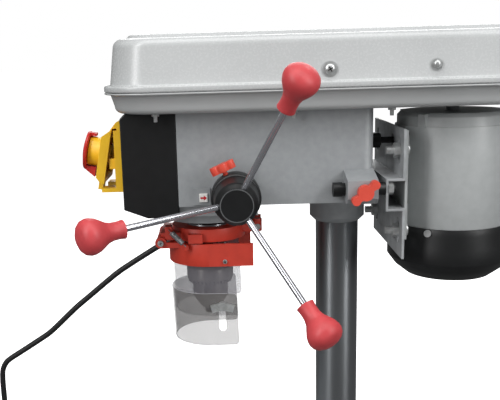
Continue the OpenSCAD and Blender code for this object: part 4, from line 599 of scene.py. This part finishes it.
def joined(name, forms, material, body, smooth=35):
    """One piece from several lists of points and faces."""
    points, faces = [], []
    for more_points, more_faces in forms:
        start = len(points)
        points += more_points
        faces += [tuple(start + k for k in face) for face in more_faces]
    return piece(name, points, faces, material, body, smooth)


def cross(front, turn, reach, half_width, depth):
    """The two bars of a cross recess: points and faces of each, from its front's middle."""
    bars = []
    back = front + Vector((0, depth, 0)) * MM
    for angle in (turn, turn + math.pi / 2):
        run = Vector((math.cos(angle), 0, math.sin(angle))) * reach * MM
        wide = Vector((-math.sin(angle), 0, math.cos(angle))) * half_width * MM
        ring = [-run - wide, run - wide, run + wide, -run + wide]
        bars.append(([middle + corner for middle in (front, back) for corner in ring], BOX_FACES))
    return bars


heads, crosses = [], []
for x, y, z, size in SCREW_AT:
    spot = at(x, y, z)
    heads.append(turned(spot, (0, -1, 0), [(radius * size, height) for radius, height in HEAD_SIDE]))
    front = spot + Vector((0, -(HEAD_H * size + WASHER_H * (1 - size) + CROSS_OUT), 0)) * MM
    crosses += cross(front, CROSS_TURN, CROSS_L * size, CROSS_W * size, CROSS_DEEP)
joined("lid_screws", heads, zinc_plate, "belt_lid", 30)
joined("lid_screw_recess_shade", crosses, rubber_and_recess_shade, "belt_lid")

# Two more heads have a small cross recess: the upper shield's near screw and the guard's hinge bolt.
# Both are zinc-plated steel. The first recess hangs about 1 mm before its screw's head, and the second rides on the
# guard while its bolt is on the collar: both are known faults.
# Each recess is drawn as two black bars: painted shade, as the recess lies in its own shadow.
SMALL_W, SMALL_DEEP, SMALL_TURN = 0.32, 0.6, 0.3
SMALL_CROSSES = (
    ("guard_screw_recess_shade", SPINDLE_X + 17, -47.25, -63, 1.7),
    ("hinge_bolt_recess_shade", SPINDLE_X - 51, -34.6, -44.4, 1.9),
)
for name, x, y, z, reach in SMALL_CROSSES:
    bars = cross(at(x, y - CROSS_OUT, z), SMALL_TURN, reach, SMALL_W, SMALL_DEEP + CROSS_OUT)
    joined(name, bars, rubber_and_recess_shade, "guard")

# The depth pointer: a white moulded tab glued to the casting beside the depth ring, with a red arrow on it.
# The print is a thin even film on satin plastic.
white_plastic = finish("white_moulded_plastic", "#eceae6", "#e2e0dc", 10, 0.8, 0.02, 0.4)
arrow_red = finish("red_printed_arrow", "#c8202a", "#b81c25", 6, 0.5, 0.005, 0.4)
TAB_X0, TAB_X1, TAB_Z0, TAB_Z1, TAB_Y, TAB_T = -147.5, -139.0, 5.0, 14.0, -64.8, 2.0
TAB_FOOT, TAB_EDGE, PRINT_OUT, PRINT_IN = 0.4, 0.8, 0.12, 0.3
tab = [at(x, y, z) for y in (TAB_Y + TAB_FOOT, TAB_Y - TAB_T) for x, z in
       ((TAB_X0, TAB_Z0), (TAB_X1, TAB_Z0), (TAB_X1, TAB_Z1), (TAB_X0, TAB_Z1))]
tab_piece = piece("depth_pointer", tab, BOX_FACES, white_plastic, "stand")
soft = tab_piece.modifiers.new("edges", "BEVEL")
soft.width = TAB_EDGE * MM
soft.segments = 3
ARROW = (
    (-146.3, 8.6), (-143.0, 8.6), (-143.0, 7.0), (-139.8, 9.5), (-143.0, 12.0), (-143.0, 10.4), (-146.3, 10.4),
)
count = len(ARROW)
arrow = [at(x, TAB_Y - TAB_T + deep, z) for deep in (-PRINT_OUT, PRINT_IN) for x, z in ARROW]
arrow_faces = [tuple(range(count)), tuple(range(count, 2 * count))]
arrow_faces += [(k, (k + 1) % count, count + (k + 1) % count, count + k) for k in range(count)]
piece("depth_pointer_arrow", arrow, arrow_faces, arrow_red, "stand")

# The hub's cap has a thin bright line round its edge, a painted highlight where its rim catches the light.
# It is drawn as a flat ring just before the cap.
cap_rim_highlight = finish("painted_cap_rim_highlight", "#5d5f60", "#4c4e4f", 8, 0.8, 0.01, 0.35)
HUB_AT = (-110.8, -128.4, 12.3)
LINE_SIDE, LINE_STEPS = [(15.0, -0.3), (15.0, 0.25), (15.9, 0.25), (15.9, -0.3)], 48
ring = turned(at(*HUB_AT), (0, -1, 0), LINE_SIDE, LINE_STEPS)
joined("hub_cap_highlight_line", [ring], cap_rim_highlight, "feed")

# The switch: a yellow frame and flap, a black module with a green and a red button, and a red mushroom.
# All are moulded ABS with a satin skin. The flap swings on a pin in the frame and carries the mushroom.
yellow_abs = finish("yellow_abs", "#fcc923", "#f5bf1c", 16, 1.0, 0.03, 0.35)
switch_red = finish("red_abs", "#cf2f2a", "#c22a26", 12, 0.9, 0.03, 0.34)
green_abs = finish("green_abs", "#2f8052", "#286f47", 12, 0.9, 0.03, 0.32)
dress("switch_frame switch_flap", yellow_abs, 0.6)
dress("switch_module", black_plastic, 0.5)
dress("stop_mushroom stop_button", switch_red, 0.6)
dress("start_button", green_abs, 0.6)
